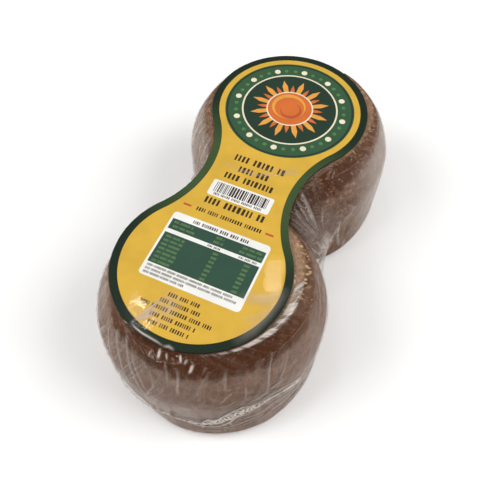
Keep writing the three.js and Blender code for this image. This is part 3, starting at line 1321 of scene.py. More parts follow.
@dataclass(frozen=True)
class SealedEdge:
    """The crumpled seal that closes the film round both ends and the -X side."""

    height: float = 12.5
    end_rise: float = 6.5
    last_rise: float = 8.0
    width: float = 4.2
    proud: float = 0.4
    crumple: float = 0.45
    ear_direction: float = -2.52
    ear_half_angle: float = 0.14
    ear_proud: float = 1.9

    def middle(self, direction: Array) -> Array:
        """The seal's height: it climbs twice towards +X.

        Args:
            direction: each point's.

        Returns:
            The height of the seal's middle in each direction.
        """
        across = np.cos(direction)
        climb = self.end_rise * smooth((across + 0.8) / 0.8)
        climb = climb + self.last_rise * smooth((across - 0.35) / 0.4)
        return self.height + climb + 0.6 * np.sin(3 * direction)

    def lasts(self, direction: Array) -> Array:
        """How strong it still is in each direction: it dies out on the +X side."""
        limit = np.where(np.sin(direction) < 0, 0.6, 0.2)
        return 1 - smooth((np.cos(direction) - limit) / 0.3)

    def share(self, direction: Array, z: Array) -> Array:
        """How much of the seal is at a point, from 0 beside it to 1 along its middle."""
        aside = np.abs(z - self.middle(direction)) / (self.width / 2)
        return smooth(1.15 - aside) * self.lasts(direction)

    def ear(self, direction: Array) -> Array:
        """How much of the corner that stands out is in each direction."""
        return np.exp(-((between(direction, self.ear_direction) / self.ear_half_angle) ** 2))


@dataclass(frozen=True)
class Fold:
    """One fold in the film, along a line on its unrolled surface.

    Places are (around, down) in mm: along the widest ring from the middle of the +X waist, and
    down the surface from the rim.
    """

    start: Pair
    end: Pair
    width: float
    height: float
    haze: float
    slit_shade: float = 0.0
    bow: float = 0.0


@dataclass(frozen=True)
class Crease:
    """One fold along its own path, through places in mm about the pack's middle.

    A pale crest runs along the path, and a slit darkened with painted shade can lie beside it,
    to the left of its way.
    A place with two numbers is on the film over the label.
    """

    width: float
    height: float
    haze: float
    slit_shade: float
    path: tuple[tuple[float, ...], ...]


# The fan that the film makes at the +X waist, from the label's edge in to the web's narrowest,
# and the swirls below it.
WAIST_CREASES = (
    Crease(1.1, 0.4, 0.26, 0.6, (
        (14.8, 4.6, 45.7), (17.6, 2.6, 42.8), (20.6, 0.6, 39.6), (23.6, -1.6, 35.8)
    )),
    Crease(1, 0.35, 0.18, 0.85, (
        (15.2, -2.2, 45.6), (18.6, -4.6, 42), (22, -4.8, 38.6), (24.6, -4.2, 35.2)
    )),
    Crease(0.8, 0.3, 0.14, 0.85, (
        (15.2, 0.8, 45.4), (18.2, -0.9, 41.9), (20.6, -1.9, 39.4), (24, -2.3, 35)
    )),
    Crease(0.7, 0.25, 0.14, 0.75, (
        (15, -6.4, 45.6), (18.3, -6.7, 43), (21.4, -6.2, 39.5), (23.4, -4.4, 36.4)
    )),
    Crease(0.6, 0.2, 0.14, 0.5, ((16, -8.4, 45), (20.3, -8.6, 42), (24, -6.2, 37))),
    Crease(0.8, 0.3, 0.34, 0.3, (
        (22.8, -10.6, 40.6), (24.7, -11, 38.4), (26.7, -9.3, 33.6), (27.2, -3, 28)
    )),
    Crease(0.8, 0.3, 0.4, 0.5, ((24.8, -6, 35.1), (26.3, -5.8, 32.2), (27.6, -1.4, 26.9))),
    Crease(1.2, 0.4, 0.3, 0.45, ((28.3, 9.5, 20.7), (27.8, 4, 25.5), (27.3, -1, 30.5), (27.3, -5.6, 31.3))),
    Crease(0.9, 0.4, 0.42, 0.1, ((29.1, 9.2, 29.2), (29.1, 12.1, 18.9), (29.3, 13.6, 10.1))),
    Crease(0.6, 0.2, 0.2, 0.4, ((23, 6.4, 38.5), (24.3, 3.4, 36), (25.4, 0.4, 33.6))),
    Crease(0.9, 0.25, 0.2, 0, (
        (24.7, -12.7, 40.2), (29.7, -18, 39), (33, -25.4, 39.4), (35.5, -32.1, 37.6)
    )),
    Crease(0.7, 0.2, 0.14, 0, ((24.8, -16, 44), (29.1, -21.8, 43.5), (32.4, -28.4, 42), (34.9, -36, 39.7))),
)

# The gathers on the near block's left, and the few long threads down its front.
NEAR_CREASES = (
    Crease(0.8, 0.3, 0.25, 0, (
        (-21.8, -60, 43.2), (-21.8, -63.8, 38.9), (-20, -66.6, 35.8), (-17, -68.9, 31.3)
    )),
    Crease(0.7, 0.3, 0.28, 0, (
        (-18.7, -61.4, 44.4), (-17.7, -65.1, 41.4), (-15.4, -68.7, 37.1), (-11.6, -71.6, 31)
    )),
    Crease(0.7, 0.3, 0.32, 0, (
        (-15.5, -62.4, 45.2), (-13.9, -65.2, 43.6), (-11.9, -69.1, 39.4), (-9.1, -71.8, 34.9),
        (-4, -73.3, 28)
    )),
    Crease(0.7, 0.25, 0.25, 0, (
        (-11.8, -66.1, 43.8), (-10.4, -68.9, 40.6), (-8.2, -71, 37.7), (-4.8, -72.8, 32.4)
    )),
    Crease(0.5, 0.2, 0.22, 0, ((-5, -69.4, 42), (-3.8, -71, 39.6), (-2, -72.6, 34.7))),
    Crease(0.5, 0.2, 0.22, 0, ((-0.8, -66.4, 45.2), (0.6, -69.2, 42.6), (1.6, -71.2, 39))),
    Crease(0.5, 0.25, 0.35, 0, ((3.1, -67.5, 44.6), (3.9, -69, 42.6), (4.5, -71.8, 36.9))),
    Crease(0.5, 0.2, 0.22, 0, ((15.8, -62.7, 44.6), (16.3, -64.4, 42.3), (17.1, -66.5, 37.8))),
    Crease(0.45, 0.25, 0.3, 0.15, (
        (25.7, -52.9, 44.7), (26.5, -56, 41.9), (27.2, -58.2, 38), (27.7, -60.6, 30.4)
    )),
    Crease(0.45, 0.2, 0.2, 0, (
        (29.4, -49, 43.2), (30.1, -51.6, 40.7), (29.8, -55.2, 36.3), (28.9, -59, 29)
    )),
    Crease(0.4, 0.2, 0.3, 0, ((22.1, -62.9, 39.4), (22.9, -64.7, 33.1))),
    Crease(0.4, 0.2, 0.25, 0, ((19.5, -65.3, 38.6), (18, -66.9, 36.2), (16, -68.9, 33.3))),
    Crease(0.4, 0.2, 0.22, 0, ((21.1, -65.5, 34.5), (18.4, -67.9, 32), (14.2, -70.4, 31.9))),
)

# The short tight gathers below the label's lip: their raised crests catch the lamp, and their
# pale haze is a painted highlight, a white glint on each.
PAINTED_GLINT_CREASES = (
    Crease(0.3, 0.2, 0.55, 0, ((-6, -67.2, 45), (-6.2, -66.1, 45.3), (-5.6, -65.3, 45.5))),
    Crease(0.5, 0.25, 0.9, 0, ((-3.7, -64.3, 45.6), (-3.2, -66.8, 45.2))),
    Crease(0.3, 0.15, 0.45, 0, ((-4.8, -66.6, 45.2), (-4.8, -67.4, 45))),
    Crease(0.35, 0.2, 0.6, 0, ((-1.5, -64.6, 45.6), (-0.8, -66.2, 45.3))),
    Crease(0.4, 0.2, 0.9, 0, ((2.3, -63.7, 45.7), (3.3, -65.6, 45.3))),
    Crease(0.35, 0.2, 0.65, 0, ((4.7, -64.2, 45.5), (4.4, -65.6, 45.3))),
    Crease(0.5, 0.25, 0.85, 0, ((6.8, -64.9, 45.4), (6.8, -67.5, 45))),
    Crease(0.3, 0.1, 0.2, 0, ((10.2, -66.2, 44.6), (10.4, -63.9, 45.2))),
)

# The near end's sealed edge: two pale welts with loops between them, then an open slit with a
# lip above it, and the stretched lines below. The slits are darkened with painted shade.
SEAL_CREASES = (
    Crease(0.4, 0.2, 0.3, 0.2, (
        (-8.9, -72.4, 19.6), (-6.5, -72.7, 18.3), (-3.4, -73.1, 18.1), (-0.7, -73.2, 18.2)
    )),
    Crease(0.4, 0.35, 0.6, 0.5, (
        (0.2, -73.3, 20.2), (2.8, -73.1, 19.6), (5.1, -72.8, 17.5), (7.5, -72.4, 17.2), (8.8, -72.1, 15.2)
    )),
    Crease(0.45, 0.45, 0.8, 0.5, (
        (8, -72.1, 15.2), (10.9, -71.6, 19), (13, -71, 21.4), (15.1, -70.1, 20.7), (17.6, -68.8, 24.8),
        (19.8, -67.4, 27.3), (21.7, -66, 28.6), (25.9, -62.8, 27.6)
    )),
    Crease(0.45, 0.45, 0.75, 0.45, (
        (9.4, -71.7, 14.3), (13.4, -70.7, 14), (16.3, -69.5, 15), (19.2, -68, 18.3), (20.8, -66.9, 22.1),
        (23, -65.2, 21.8), (25.6, -62.9, 24.6)
    )),
    Crease(0.4, 0.3, 0.6, 0, ((25.9, -62.4, 24.6), (24.6, -63.6, 27), (25.9, -62.4, 28.6))),
    Crease(0.35, 0.3, 0.7, 0.6, (
        (10.5, -71.5, 18.2), (12, -71.1, 16.2), (14, -70.4, 19.6), (15.6, -69.7, 17.4), (17.6, -68.8, 22.4),
        (19.4, -67.7, 20.4), (20.6, -66.9, 25.8), (22.4, -65.6, 23.8), (24.2, -64.2, 27.8)
    )),
    Crease(0.45, 0.5, 0.5, 0.95, (
        (24.4, -63.9, 24.5), (26.6, -61.6, 28.4), (28.7, -59.4, 28.5), (30.9, -56.6, 28),
        (33.1, -53.3, 26.4), (35.4, -48.1, 24.4)
    )),
    Crease(0.45, 0.4, 0.55, 0.3, (
        (25.5, -62.8, 28.3), (28.6, -59.4, 30.4), (31.1, -56.1, 30.6), (34, -51.5, 28.6), (36, -46, 25.6)
    )),
    Crease(0.5, 0.35, 0.4, 0.5, (
        (20.5, -67, 16.7), (24.8, -63.8, 18.8), (27.1, -61.6, 18.7), (30, -58, 22.4), (33.6, -52.4, 23)
    )),
    Crease(0.5, 0.35, 0.4, 0.5, (
        (26.5, -62.2, 11.9), (30.3, -57.7, 16.5), (33.5, -52.2, 17.7), (35.7, -47, 20.4)
    )),
    Crease(0.5, 0.3, 0.35, 0.4, ((31, -56.6, 7.4), (34, -50.8, 11.4), (36, -45.1, 13.7))),
    Crease(0.5, 0.2, 0.25, 0.2, ((8, -72.2, 10), (16, -69.5, 9.4), (24, -64.4, 12.6))),
    Crease(0.6, 0.3, 0.3, 0.4, (
        (22.4, -65.6, 29.6), (26.4, -61.9, 32.4), (29.6, -58, 34.6), (32.4, -54, 35.4)
    )),
    Crease(0.5, 0.35, 0.45, 0.85, (
        (27.4, -61, 24.8), (30.6, -56.9, 25.2), (33.9, -51.6, 24.2), (36.2, -45.4, 22.4)
    )),
    Crease(0.5, 0.3, 0.4, 0.7, ((29.2, -59, 20.4), (32.4, -54.2, 20.6), (35.2, -48.4, 21.6))),
    Crease(0.5, 0.3, 0.4, 0.5, (
        (12.4, -71.2, 12.2), (18.6, -68.3, 12.6), (24.4, -64.2, 16), (28, -60.6, 16.6)
    )),
)

# Where the seal is crumpled into a net of pockets: how wide it is, and how full.
SEAL_NETS = (
    Crease(0.8, 0, 0.5, 0, ((-8.9, -72.4, 19.4), (-3.4, -73.1, 18), (0.2, -73.3, 19.6), (4, -73, 18.6))),
    Crease(1.6, 0, 0.9, 0, ((4, -73, 18.6), (7.5, -72.4, 17), (9.6, -71.8, 15.4), (12.2, -71.1, 17))),
    Crease(2.3, 0, 1, 0, (
        (9.6, -71.8, 15.4), (14.5, -70.3, 17.6), (17, -69.1, 20.5), (19.5, -67.6, 23), (22, -65.7, 25),
        (25.7, -62.8, 26.2)
    )),
    Crease(1.2, 0, 0.6, 0, ((25, -63.4, 23), (28.5, -59.6, 27.4), (33, -53.3, 26.6), (35.6, -48, 24.6))),
)

# The film's own wrinkles over the label, and painted glare: pale streaks and glints laid where
# the film would mirror the lamps.
LABEL_CREASES_AND_GLARE = (
    Crease(0.6, 0.2, 0.22, 0, ((-13.7, 5.6), (-7.5, 4.9), (-0.6, 5.4), (6, 8.4), (10.4, 11.8))),
    Crease(0.5, 0.15, 0.16, 0, ((-2.4, 8.1), (2.4, 8.8), (7.5, 11.7))),
    Crease(0.4, 0.25, 0.75, 0.3, (
        (-15.2, -60), (-13.4, -61), (-10.7, -61.8), (-8, -62.2), (-5.5, -62.6), (-4, -63)
    )),
    Crease(0.55, 0.25, 0.5, 0.2, ((-3.2, -63.1), (-1.9, -62.6), (-0.3, -63))),
    Crease(0.6, 0.1, 0.6, 0, (
        (-14.7, -59.1), (-14.3, -57.9), (-12.9, -54.9), (-11.6, -52.2), (-10.2, -49.1)
    )),
    Crease(0.7, 0.1, 0.6, 0, ((-14.5, -58.6), (-12.3, -57), (-10.7, -55))),
    Crease(0.9, 0, 0.5, 0, ((-13.9, -56.9), (-12.4, -56.2), (-11, -53.2))),
    Crease(0.4, 0.1, 0.34, 0, ((-16.4, -55), (-13.4, -56.6), (-10.2, -56), (-6.6, -57.4))),
    Crease(0.35, 0.1, 0.3, 0, ((-12.9, -61.4), (-12.2, -57.6), (-9.3, -53.4), (-8.6, -49.6))),
    Crease(3.6, 0, 0.2, 0, ((-8.6, -47.5), (-7.3, -50.4), (-6.8, -54.8))),
    Crease(2, 0.1, 0.2, 0, (
        (22.6, -33.4, 45.7), (21.7, -38.1, 45.7), (20.5, -43, 45.7), (18.3, -49, 45.7), (15.6, -53.2, 45.7)
    )),
    Crease(2.4, 0.1, 0.26, 0, ((12.4, -39.8), (15.6, -39.1), (18.6, -38.3), (20.4, -36.6), (21.8, -33.8))),
    Crease(2, 0.1, 0.16, 0, ((14.9, -45.9), (17.6, -45.6), (19.2, -43.1), (20.3, -41))),
    Crease(0.4, 0.1, 0.35, 0, (
        (7.5, 11, 45.7), (9, 12.1, 45.7), (10.9, 11.9, 45.7), (10, 10.2, 45.7), (8, 9.7, 45.7),
        (6.3, 10.4, 45.7)
    )),
    Crease(0.35, 0.2, 0.5, 0, (
        (27.5, -30.1, 45.6), (27.2, -32.4, 45.6), (26.5, -36.1, 45.7), (26.7, -39.7, 45.7),
        (25.8, -41.7, 45.7), (24.5, -45.1, 45.8), (22.7, -47.7, 45.8), (21.4, -49.9, 45.8),
        (19.6, -52.4, 45.8), (18, -54.4, 45.8)
    )),
)


@dataclass(frozen=True)
class Milk:
    """How milky the film is on one block.

    It is so over the dry sugar, about a direction at the +X side, and on the sealed side.
    """

    over_dry: float
    right: float
    at_right: float
    at_seal: float


@dataclass(frozen=True)
class Skin:
    """The film's surface as rings and columns of points, with what is known of each."""

    points: Array
    direction: Array
    around: Array
    down: Array
    on_wall: Array
    crown_from: int
    spacing: float

    @property
    def length(self) -> float:
        """The way once round the pack, in mm."""
        return float(self.around.max() + self.around[0, 1] - self.around[0, 0])

    @property
    def z(self) -> Array:
        """Each point's height."""
        return self.points[..., 2]

    def about(self, end: End) -> Array:
        """Each point's angle about a block's axis."""
        along = self.points[..., 1] - end.way * self.spacing / 2
        return np.arctan2(along, self.points[..., 0])

    def beside(self, end: End) -> Array:
        """How far each point belongs to a block's half of the pack, from 0 to 1."""
        return smooth(0.5 + end.way * self.points[..., 1] / 10)

    @property
    def back(self) -> int:
        """The column at the far block's back."""
        return int(self.points[self.crown_from, :, 1].argmax())

    def flat(self) -> Array:
        """The unrolled place of each point, from the far block's back."""
        around = (self.around - self.around[0, self.back]) % self.length
        return np.stack(np.broadcast_arrays(around, self.down), -1)


@dataclass(frozen=True)
class ShrinkFilm:
    """The film round the whole pack, as one unbroken skin of rings and columns."""

    form: CastForm
    place: PackPlace
    label: LabelCard
    folded: Web = Web(top=14.4, widest=28.5, tuck=3.5)
    sealed: Web = Web(top=19.6, widest=24.2, tuck=3.0)
    seal: SealedEdge = SealedEdge()
    clear: float = 0.26
    over_label: float = 0.1
    near_columns: int = 720
    far_columns: int = 440
    waist_columns: int = 120
    heel_rows: int = 9
    side_rows: int = 84
    shoulder_rows: int = 42
    tent_rows: int = 20
    cover_rows: int = 36
    foot_rows: int = 4
    taut: float = 0.8
    gather: float = 0.035
    gather_mm: float = 2.7
    near_milk: Milk = Milk(over_dry=0.06, right=-0.4, at_right=0.06, at_seal=0.11)
    far_milk: Milk = Milk(over_dry=0.09, right=0.15, at_right=0.24, at_seal=0.2)
    strip_from: float = -36.0
    strip_to: float = -84.0

    # -- its shape before the folds

    def columns(self) -> tuple[Array, Array]:
        """Each column's segment and its share of it, turning from +X to +Y.

        They stand closer together towards +X, where the folds are finest.

        Returns:
            The segments, numbered as the label's are, and the shares.
        """
        far, near = np.linspace(0, 1, self.far_columns), np.linspace(0, 1, self.near_columns)
        far, near = far * (0.7 + 0.3 * far), near * (1.15 - 0.15 * near)
        waist = np.arange(1, self.waist_columns + 1) / (self.waist_columns + 1)
        shares = [far, waist, near, waist]
        segment = np.concatenate([np.full(len(s), k) for k, s in enumerate(shares)])
        return segment, np.concatenate(shares)

    def wall(self, z: Array) -> tuple[Array, Array]:
        """The film's outline at each height.

        A round end follows each block's side. Between them a hollow arc touches both, and its
        radius comes from the web's reach.

        Args:
            z: the rings' heights, as a column.

        Returns:
            Points (rings, columns, 3) about the pack's middle, and each one's direction.
        """
        form = self.form
        segment, share = self.columns()
        half = form.spacing / 2
        radius = form.plain_radius(z) + self.clear
        lifts, reaches, hollows = [], [], []
        for web in (self.folded, self.sealed):
            reach = np.minimum(web.reach(z, form.height) + 0.1, radius - 0.4)
            hollow = (reach**2 + half**2 - radius**2) / (2 * (radius - reach))
            lifts.append(np.arcsin(half / (radius + hollow)))
            reaches.append(reach)
            hollows.append(hollow)
        folded, sealed = 0, 1
        far = share * (math.pi + lifts[folded] + lifts[sealed]) - lifts[folded]
        near = share * (math.pi + lifts[sealed] + lifts[folded]) - lifts[sealed] + math.pi
        fade = smooth(np.sin(math.pi * share) * 3.0)
        points = np.zeros((len(z), len(share), 3))
        direction = np.zeros((len(z), len(share)))
        for end, angle, mine in ((End.FAR, far, segment == 0), (End.NEAR, near, segment == 2)):
            out = radius + form.unevenness(end, angle, z) * fade
            x, y = out * np.cos(angle), end.way * half + out * np.sin(angle)
            points[:, mine, 0], points[:, mine, 1] = x[:, mine], y[:, mine]
            direction[:, mine] = angle[:, mine]
        for kind, side, mine in ((sealed, -1, segment == 1), (folded, 1, segment == 3)):
            slope = lifts[kind] * (1 - 2 * share)
            x = side * (reaches[kind] + hollows[kind] * (1 - np.cos(slope)))
            y = -side * hollows[kind] * np.sin(slope)
            points[:, mine, 0], points[:, mine, 1] = x[:, mine], y[:, mine]
            facing = np.arctan2(side * np.sin(slope), side * np.cos(slope))
            direction[:, mine] = facing[:, mine]
        for end in End:
            along = points[..., 1] - end.way * half
            out, angle = np.hypot(points[..., 0], along), np.arctan2(along, points[..., 0])
            least = form.plain_radius(z) + form.unevenness(end, angle, z) + self.clear
            grown = np.maximum(least / np.maximum(out, 1e-6), 1)
            points[..., 0] *= grown
            points[..., 1] = end.way * half + along * grown
        points[..., 2] = z
        return points, direction

    def draw_taut(self, wall: Array, edge: Array) -> Array:
        """Draws the wall's top in to straight lines that run down from the label's edge.

        Each column's line touches the block where it slopes out the furthest. Above that ring
        the film leaves the block for the line.

        Args:
            wall: the wall's points.
            edge: the label's edge in each column.

        Returns:
            The wall's new points, at their old heights.
        """
        segment, _ = self.columns()
        z = wall[:, :1, 2]
        centre = np.select([segment == 0, segment == 2], [1.0, -1.0], 0.0) * self.form.spacing / 2
        hub = np.column_stack([0 * centre, np.where(segment % 2 == 0, centre, edge[:, 1])])
        outward = edge[:, :2] - hub
        outward /= np.linalg.norm(outward, axis=1, keepdims=True)
        gain = ((wall[..., :2] - edge[None, :, :2]) * outward[None]).sum(-1)
        rise = np.maximum(edge[None, :, 2] - z, 0.05)
        slope = np.where(z > self.form.widest - 6, gain / rise, -9)
        touch = slope.argmax(0)
        touching = wall[touch, np.arange(wall.shape[1])]
        part = (edge[None, :, 2] - z) / (edge[:, 2] - touching[:, 2])[None, :]
        line = edge[None] + (touching - edge)[None] * np.clip(part, 0, 1)[..., None]
        above = (np.arange(len(z))[:, None] > touch[None, :]) * self.taut
        drawn = wall + (line - wall) * above[..., None]
        drawn[..., 2] = z
        return drawn

    def skin(self) -> Skin:
        """The whole skin before its folds, from the foot's middle line to the label's.

        The wall's rings carry on inwards at both of its ends. Under the pack they run to the
        line between the blocks' axes. Above it they rise to the label's edge, and over the
        label they run to its own middle line.

        Returns:
            The skin, about the pack's middle.
        """
        z = self.form.rings(self.heel_rows, self.side_rows, self.shoulder_rows, rim=True)[:, None]
        wall, direction = self.wall(z)
        segment, share = self.columns()
        edge_flat = self.label.loop(segment, share, -0.2)
        high = self.label.face_height(edge_flat) + self.over_label
        edge = np.column_stack([self.label.to_pack(edge_flat) - self.place.middle, high])
        wall = self.draw_taut(wall, edge)

        rim = wall[-1:]
        way = np.linspace(0, 1, self.tent_rows + 1)[1:, None, None]
        tent = rim + (edge[None] - rim) * way
        rise = (high - self.form.height)[None, :]
        tent[..., 2] = rim[..., 2] + rise * np.sin(way[..., 0] * math.pi / 2)
        # The middle line's place for each column: one end, on to the other, and back.
        turns = [1 + 0 * share, 1 - 2 * share, 0 * share - 1, 2 * share - 1]
        along = np.choose(segment, turns)
        medial_flat = np.column_stack([0 * along, along * self.label.disc_spacing / 2])
        # The rings over the label stand closer together towards its edge.
        inner = 1 - (np.linspace(0, 1, self.cover_rows + 1)[1:, None, None]) ** 1.6
        cover_flat = medial_flat[None] + (edge_flat - medial_flat)[None] * inner
        cover = np.zeros((self.cover_rows, len(share), 3))
        cover[..., :2] = self.label.to_pack(cover_flat) - self.place.middle
        cover[..., 2] = self.label.face_height(cover_flat) + self.over_label

        medial = np.column_stack([0 * along, along * self.form.spacing / 2, 0 * along])
        outer = np.linspace(0, 1, self.foot_rows, endpoint=False)[:, None, None]
        foot = medial[None] + (wall[:1] - medial[None]) * outer
        points = np.concatenate([foot, wall, tent, cover])
        waist = np.exp(-((points[..., 1] / 9.0) ** 2))
        points[..., 2] = np.maximum(points[..., 2], 1.2 * waist * smooth(1 - points[..., 2] / 3))

        rows, first = len(points), self.foot_rows
        last = first + len(z)
        turned = np.concatenate(
            [np.repeat(direction[:1], first, 0), direction, np.repeat(direction[-1:], rows - last, 0)]
        )
        steps = np.linalg.norm(np.diff(points, axis=0), axis=-1).mean(1)
        up = np.concatenate([[0], np.cumsum(steps)])
        ring = points[first + self.heel_rows + self.side_rows]
        gaps = np.linalg.norm(np.roll(ring, -1, axis=0) - ring, axis=-1)
        total = np.concatenate([[0], np.cumsum(gaps)[:-1]])
        around = (total - total[-self.waist_columns // 2]) % gaps.sum()
        on_wall = ((np.arange(rows) >= first) & (np.arange(rows) < last)).astype(float)
        return Skin(
            points=points,
            direction=turned,
            around=around[None, :],
            down=(up[last - 1] - up)[:, None],
            on_wall=on_wall[:, None],
            crown_from=first + self.heel_rows + self.side_rows,
            spacing=self.form.spacing,
        )

    # -- its folds and its haze

    def folds(self, length: float) -> list[Fold]:
        """Every fold, by kind, from seeded draws.

        Args:
            length: the way once round the pack.

        Returns:
            The folds.
        """
        draws = Draws(404)
        found: list[Fold] = []
        centre = length / 2

        def spread(low: float, high: float) -> float:
            """The next draw between two numbers."""
            return low + (high - low) * draws.next()

        def fold(start: Pair, end: Pair, *limits: Pair, bow: float = 0.0) -> None:
            """Draws a fold's width, height, haze and slit between limits, and then its bow."""
            sizes = [spread(*limit) for limit in limits]
            found.append(Fold(start, end, *sizes, bow=spread(-bow, bow) if bow else 0.0))

        def row(
            first: float, last: float, step: Pair, places: tuple, *limits: Pair, bow: float = 0.0
        ) -> None:
            """Draws folds side by side.

            Args:
                first: where the first stands.
                last: where they end.
                step: the limits of the way to the next.
                places: the limits of each one's top, of its drift sideways and of its foot.
                *limits: as a fold's.
                bow: as a fold's.
            """
            at, way = first, math.copysign(1.0, last - first)
            while way * at < way * last:
                top, drift, foot = (spread(*limit) for limit in places)
                fold((at, top), (at + drift, foot), *limits, bow=bow)
                at += way * spread(*step)

        # Upright pleats all round the sides, where the film has gathered as it shrank.
        places = ((2, 20), (-3.5, 3.5), (26, 42))
        row(26.0, length - 26, (1.6, 4.2), places, (0.8, 1.5), (0.03, 0.14), (0.0, 0.09), bow=1)
        # Finer and closer ones on the near block's -X side, where the film has the most to spare.
        places = ((-3, 4), (-1.5, 2.5), (24, 40))
        sizes = ((0.35, 0.75), (0.08, 0.22), (0.08, 0.42), (0.1, 0.7))
        row(length - 172, length - 104, (1.1, 2.4), places, *sizes, bow=1)
        # Short steep folds that run up to the sealed edge and across it.
        at = 26.0
        while at < length - 26:
            low = spread(28, 38)
            start, end = (at, low - spread(5, 13)), (at - spread(-4, 9), low)
            fold(start, end, (0.6, 1.1), (0.05, 0.18), (0.0, 0.12), bow=1)
            at += spread(1.4, 3.2)
        # The ladder of small folds between the label's edge and the rim.
        places = ((-4.4, -2.8), (-1.4, 1.4), (2.0, 6.5))
        row(30.0, length - 112, (3.0, 8.0), places, (0.8, 1.3), (0.03, 0.16), (0.0, 0.06))
        # The crimped strip where the film bridges from the label's lip to the near block's top.
        at = length + self.strip_from
        while at > length + self.strip_to:
            lands = float(self.landing(np.array(at - length)))
            start, end = (at, -5.0), (at + spread(-1.6, 1.6), lands + spread(-0.2, 0.4))
            fold(start, end, (0.35, 0.9), (0.1, 0.35), (0.1, 0.5), (0.4, 1.0))
            at -= spread(0.9, 3.2)
        # A fan from the label's -X waist to the web's widest, and on over the side.
        for _ in range(20):
            off = spread(-9, 9)
            start = (centre + off, spread(-2.5, 2))
            end = (centre + off * 0.1 + spread(-1, 1), spread(17, 22))
            fold(start, end, (0.8, 1.6), (0.12, 0.42), (0.04, 0.2), bow=1.2)
        # The swirls under the web's widest.
        for _ in range(14):
            aim = spread(-24, 24)
            start, end = (centre + spread(-2, 2), spread(16, 22)), (centre + aim, spread(26, 42))
            fold(start, end, (0.8, 1.6), (0.08, 0.28), (0.03, 0.14), bow=2)
        # Slanting hairs down the near block's +X side.
        places = ((0, 12), (-3, -8), (20, 35))
        sizes = ((0.4, 0.9), (0.03, 0.12), (0.04, 0.2), (0.0, 0.3))
        row(length - 22.0, length - 74, (1.2, 3.0), places, *sizes, bow=1)
        return found

    def landing(self, around: Array) -> Array:
        """How far down the film lands on the near block's top: further out towards the waist."""
        return -2.35 - 1.75 * np.clip((-38.5 - around) / 40, -0.3, 1)

    def raise_folds(self, skin: Skin, folds: list[Fold]) -> Array:
        """Adds up the folds over the unrolled skin.

        Across its line a fold is a crest that falls off with the square of the distance, and
        along it the crest swells from nothing and dies away again. A slit lies beside it, darkened
        with painted shade.

        Args:
            skin: the film's skin.
            folds: the folds.

        Returns:
            The height in mm, the haze and the slit's painted shade that the folds give, as one array.
        """
        around, down, length = skin.around, skin.down, skin.length
        height = np.zeros((down.size, around.size))
        haze, slit_shade = np.zeros_like(height), np.zeros_like(height)
        for fold in folds:
            (s0, d0), (s1, d1) = fold.start, fold.end
            rows = np.where((down[:, 0] > min(d0, d1)) & (down[:, 0] < max(d0, d1)))[0]
            t = (down[rows] - d0) / (d1 - d0)
            line = s0 + (s1 - s0) * t + fold.bow * np.sin(math.pi * t)
            away = (around - line + length / 2) % length - length / 2
            wide = fold.width * (0.55 + 0.45 * t)
            crest = np.clip(1 - np.abs(away) / wide, 0, 1) ** 2
            swell = np.sin(math.pi * np.clip(t, 0, 1)) ** 0.7
            height[rows] = np.maximum(height[rows], fold.height * crest * swell)
            haze[rows] += fold.haze * crest * swell
            # Painted shade: the slit beside the crest is darkened.
            slit_shade_mask = np.clip(1 - np.abs(away - 0.9 * wide) / (0.7 * wide), 0, 1)
            slit_shade[rows] = np.maximum(slit_shade[rows], fold.slit_shade * slit_shade_mask * swell)
        return np.stack([height, haze, slit_shade])

    def raise_creases(self, skin: Skin, creases: Iterable[Crease]) -> Array:
        """Adds up the creases that have their own paths.

        A point's distance to a path is measured along the skin, as the part of its offset from
        the path's nearest stretch that lies across the skin's normal.

        Args:
            skin: the film's skin.
            creases: the creases.

        Returns:
            The height in mm, the haze and the slit's painted shade that the creases give, as one array.
        """
        points = skin.points.reshape(-1, 3)
        normals = grid_normals(skin.points).reshape(-1, 3)
        total = np.zeros((3, len(points)))
        for crease in creases:
            path = np.array(crease.path)
            if path.shape[1] == 2:
                path = np.insert(path, 2, self.place.label_heights[1] + self.over_label, axis=1)
            steps = np.diff(path, axis=0)
            gone = np.concatenate([[0], np.cumsum(np.linalg.norm(steps, axis=1))])
            room = 3 * crease.width + 1
            near = ((points > path.min(0) - room) & (points < path.max(0) + room)).all(1)
            near = np.where(near)[0]
            at, normal = points[near], normals[near]
            best, part, side = np.full(len(near), 99.0), np.zeros(len(near)), np.ones(len(near))
            for k, step in enumerate(steps):
                off = at - path[k]
                t = np.clip(off @ step / (step @ step), 0, 1)
                off = off - t[:, None] * step
                proud = (off * normal).sum(1)
                off = off - normal * proud[:, None]
                away = np.linalg.norm(off, axis=1) + 9 * (np.abs(proud) > 2.5)
                closer = away < best
                left = np.sign((np.cross(step, off) * normal).sum(1))
                gone_here = (gone[k] + t * (gone[k + 1] - gone[k])) / gone[-1]
                part, side = np.where(closer, gone_here, part), np.where(closer, left, side)
                best = np.minimum(best, away)
            swell = np.sin(math.pi * np.clip(part, 0.02, 0.98)) ** 0.4
            crest = np.clip(1.15 - best / crease.width, 0, 1) * swell
            # Painted shade: the slit beside the crest is darkened.
            beside = np.abs(side * best - 1.2 * crease.width)
            slit_shade_mask = np.clip(1 - beside / (0.85 * crease.width), 0, 1) * swell
            given = np.stack([crease.height * crest, crease.haze * crest, crease.slit_shade * slit_shade_mask])
            total[:, near] = np.maximum(total[:, near], given)
        return total.reshape(3, *skin.points.shape[:2])

    def veil(self, skin: Skin) -> Array:
        """How milky the film is before its folds, from 0 to about 0.5.

        It is clear where it lies wet on the damp skin, faintly milky over the dry sugar, and
        milkier in the middle of the side, on the sealed side and across the waist.

        Args:
            skin: the film's skin.

        Returns:
            The haze for each point.
        """
        z = skin.z
        mid = 0.055 * smooth((34 - z) / 8) * smooth((z - 13) / 6)
        total = np.zeros_like(z)
        for end, milk in ((End.NEAR, self.near_milk), (End.FAR, self.far_milk)):
            angle = skin.about(end)
            dried = 1 - self.form.damp(end, angle, z)
            sealed_side = smooth(1.6 - between(angle, math.pi) / 0.6) * smooth((45.2 - z) / 2.5)
            aside = smooth(1.5 - between(angle, milk.right) / 0.5) * smooth((44.5 - z) / 3)
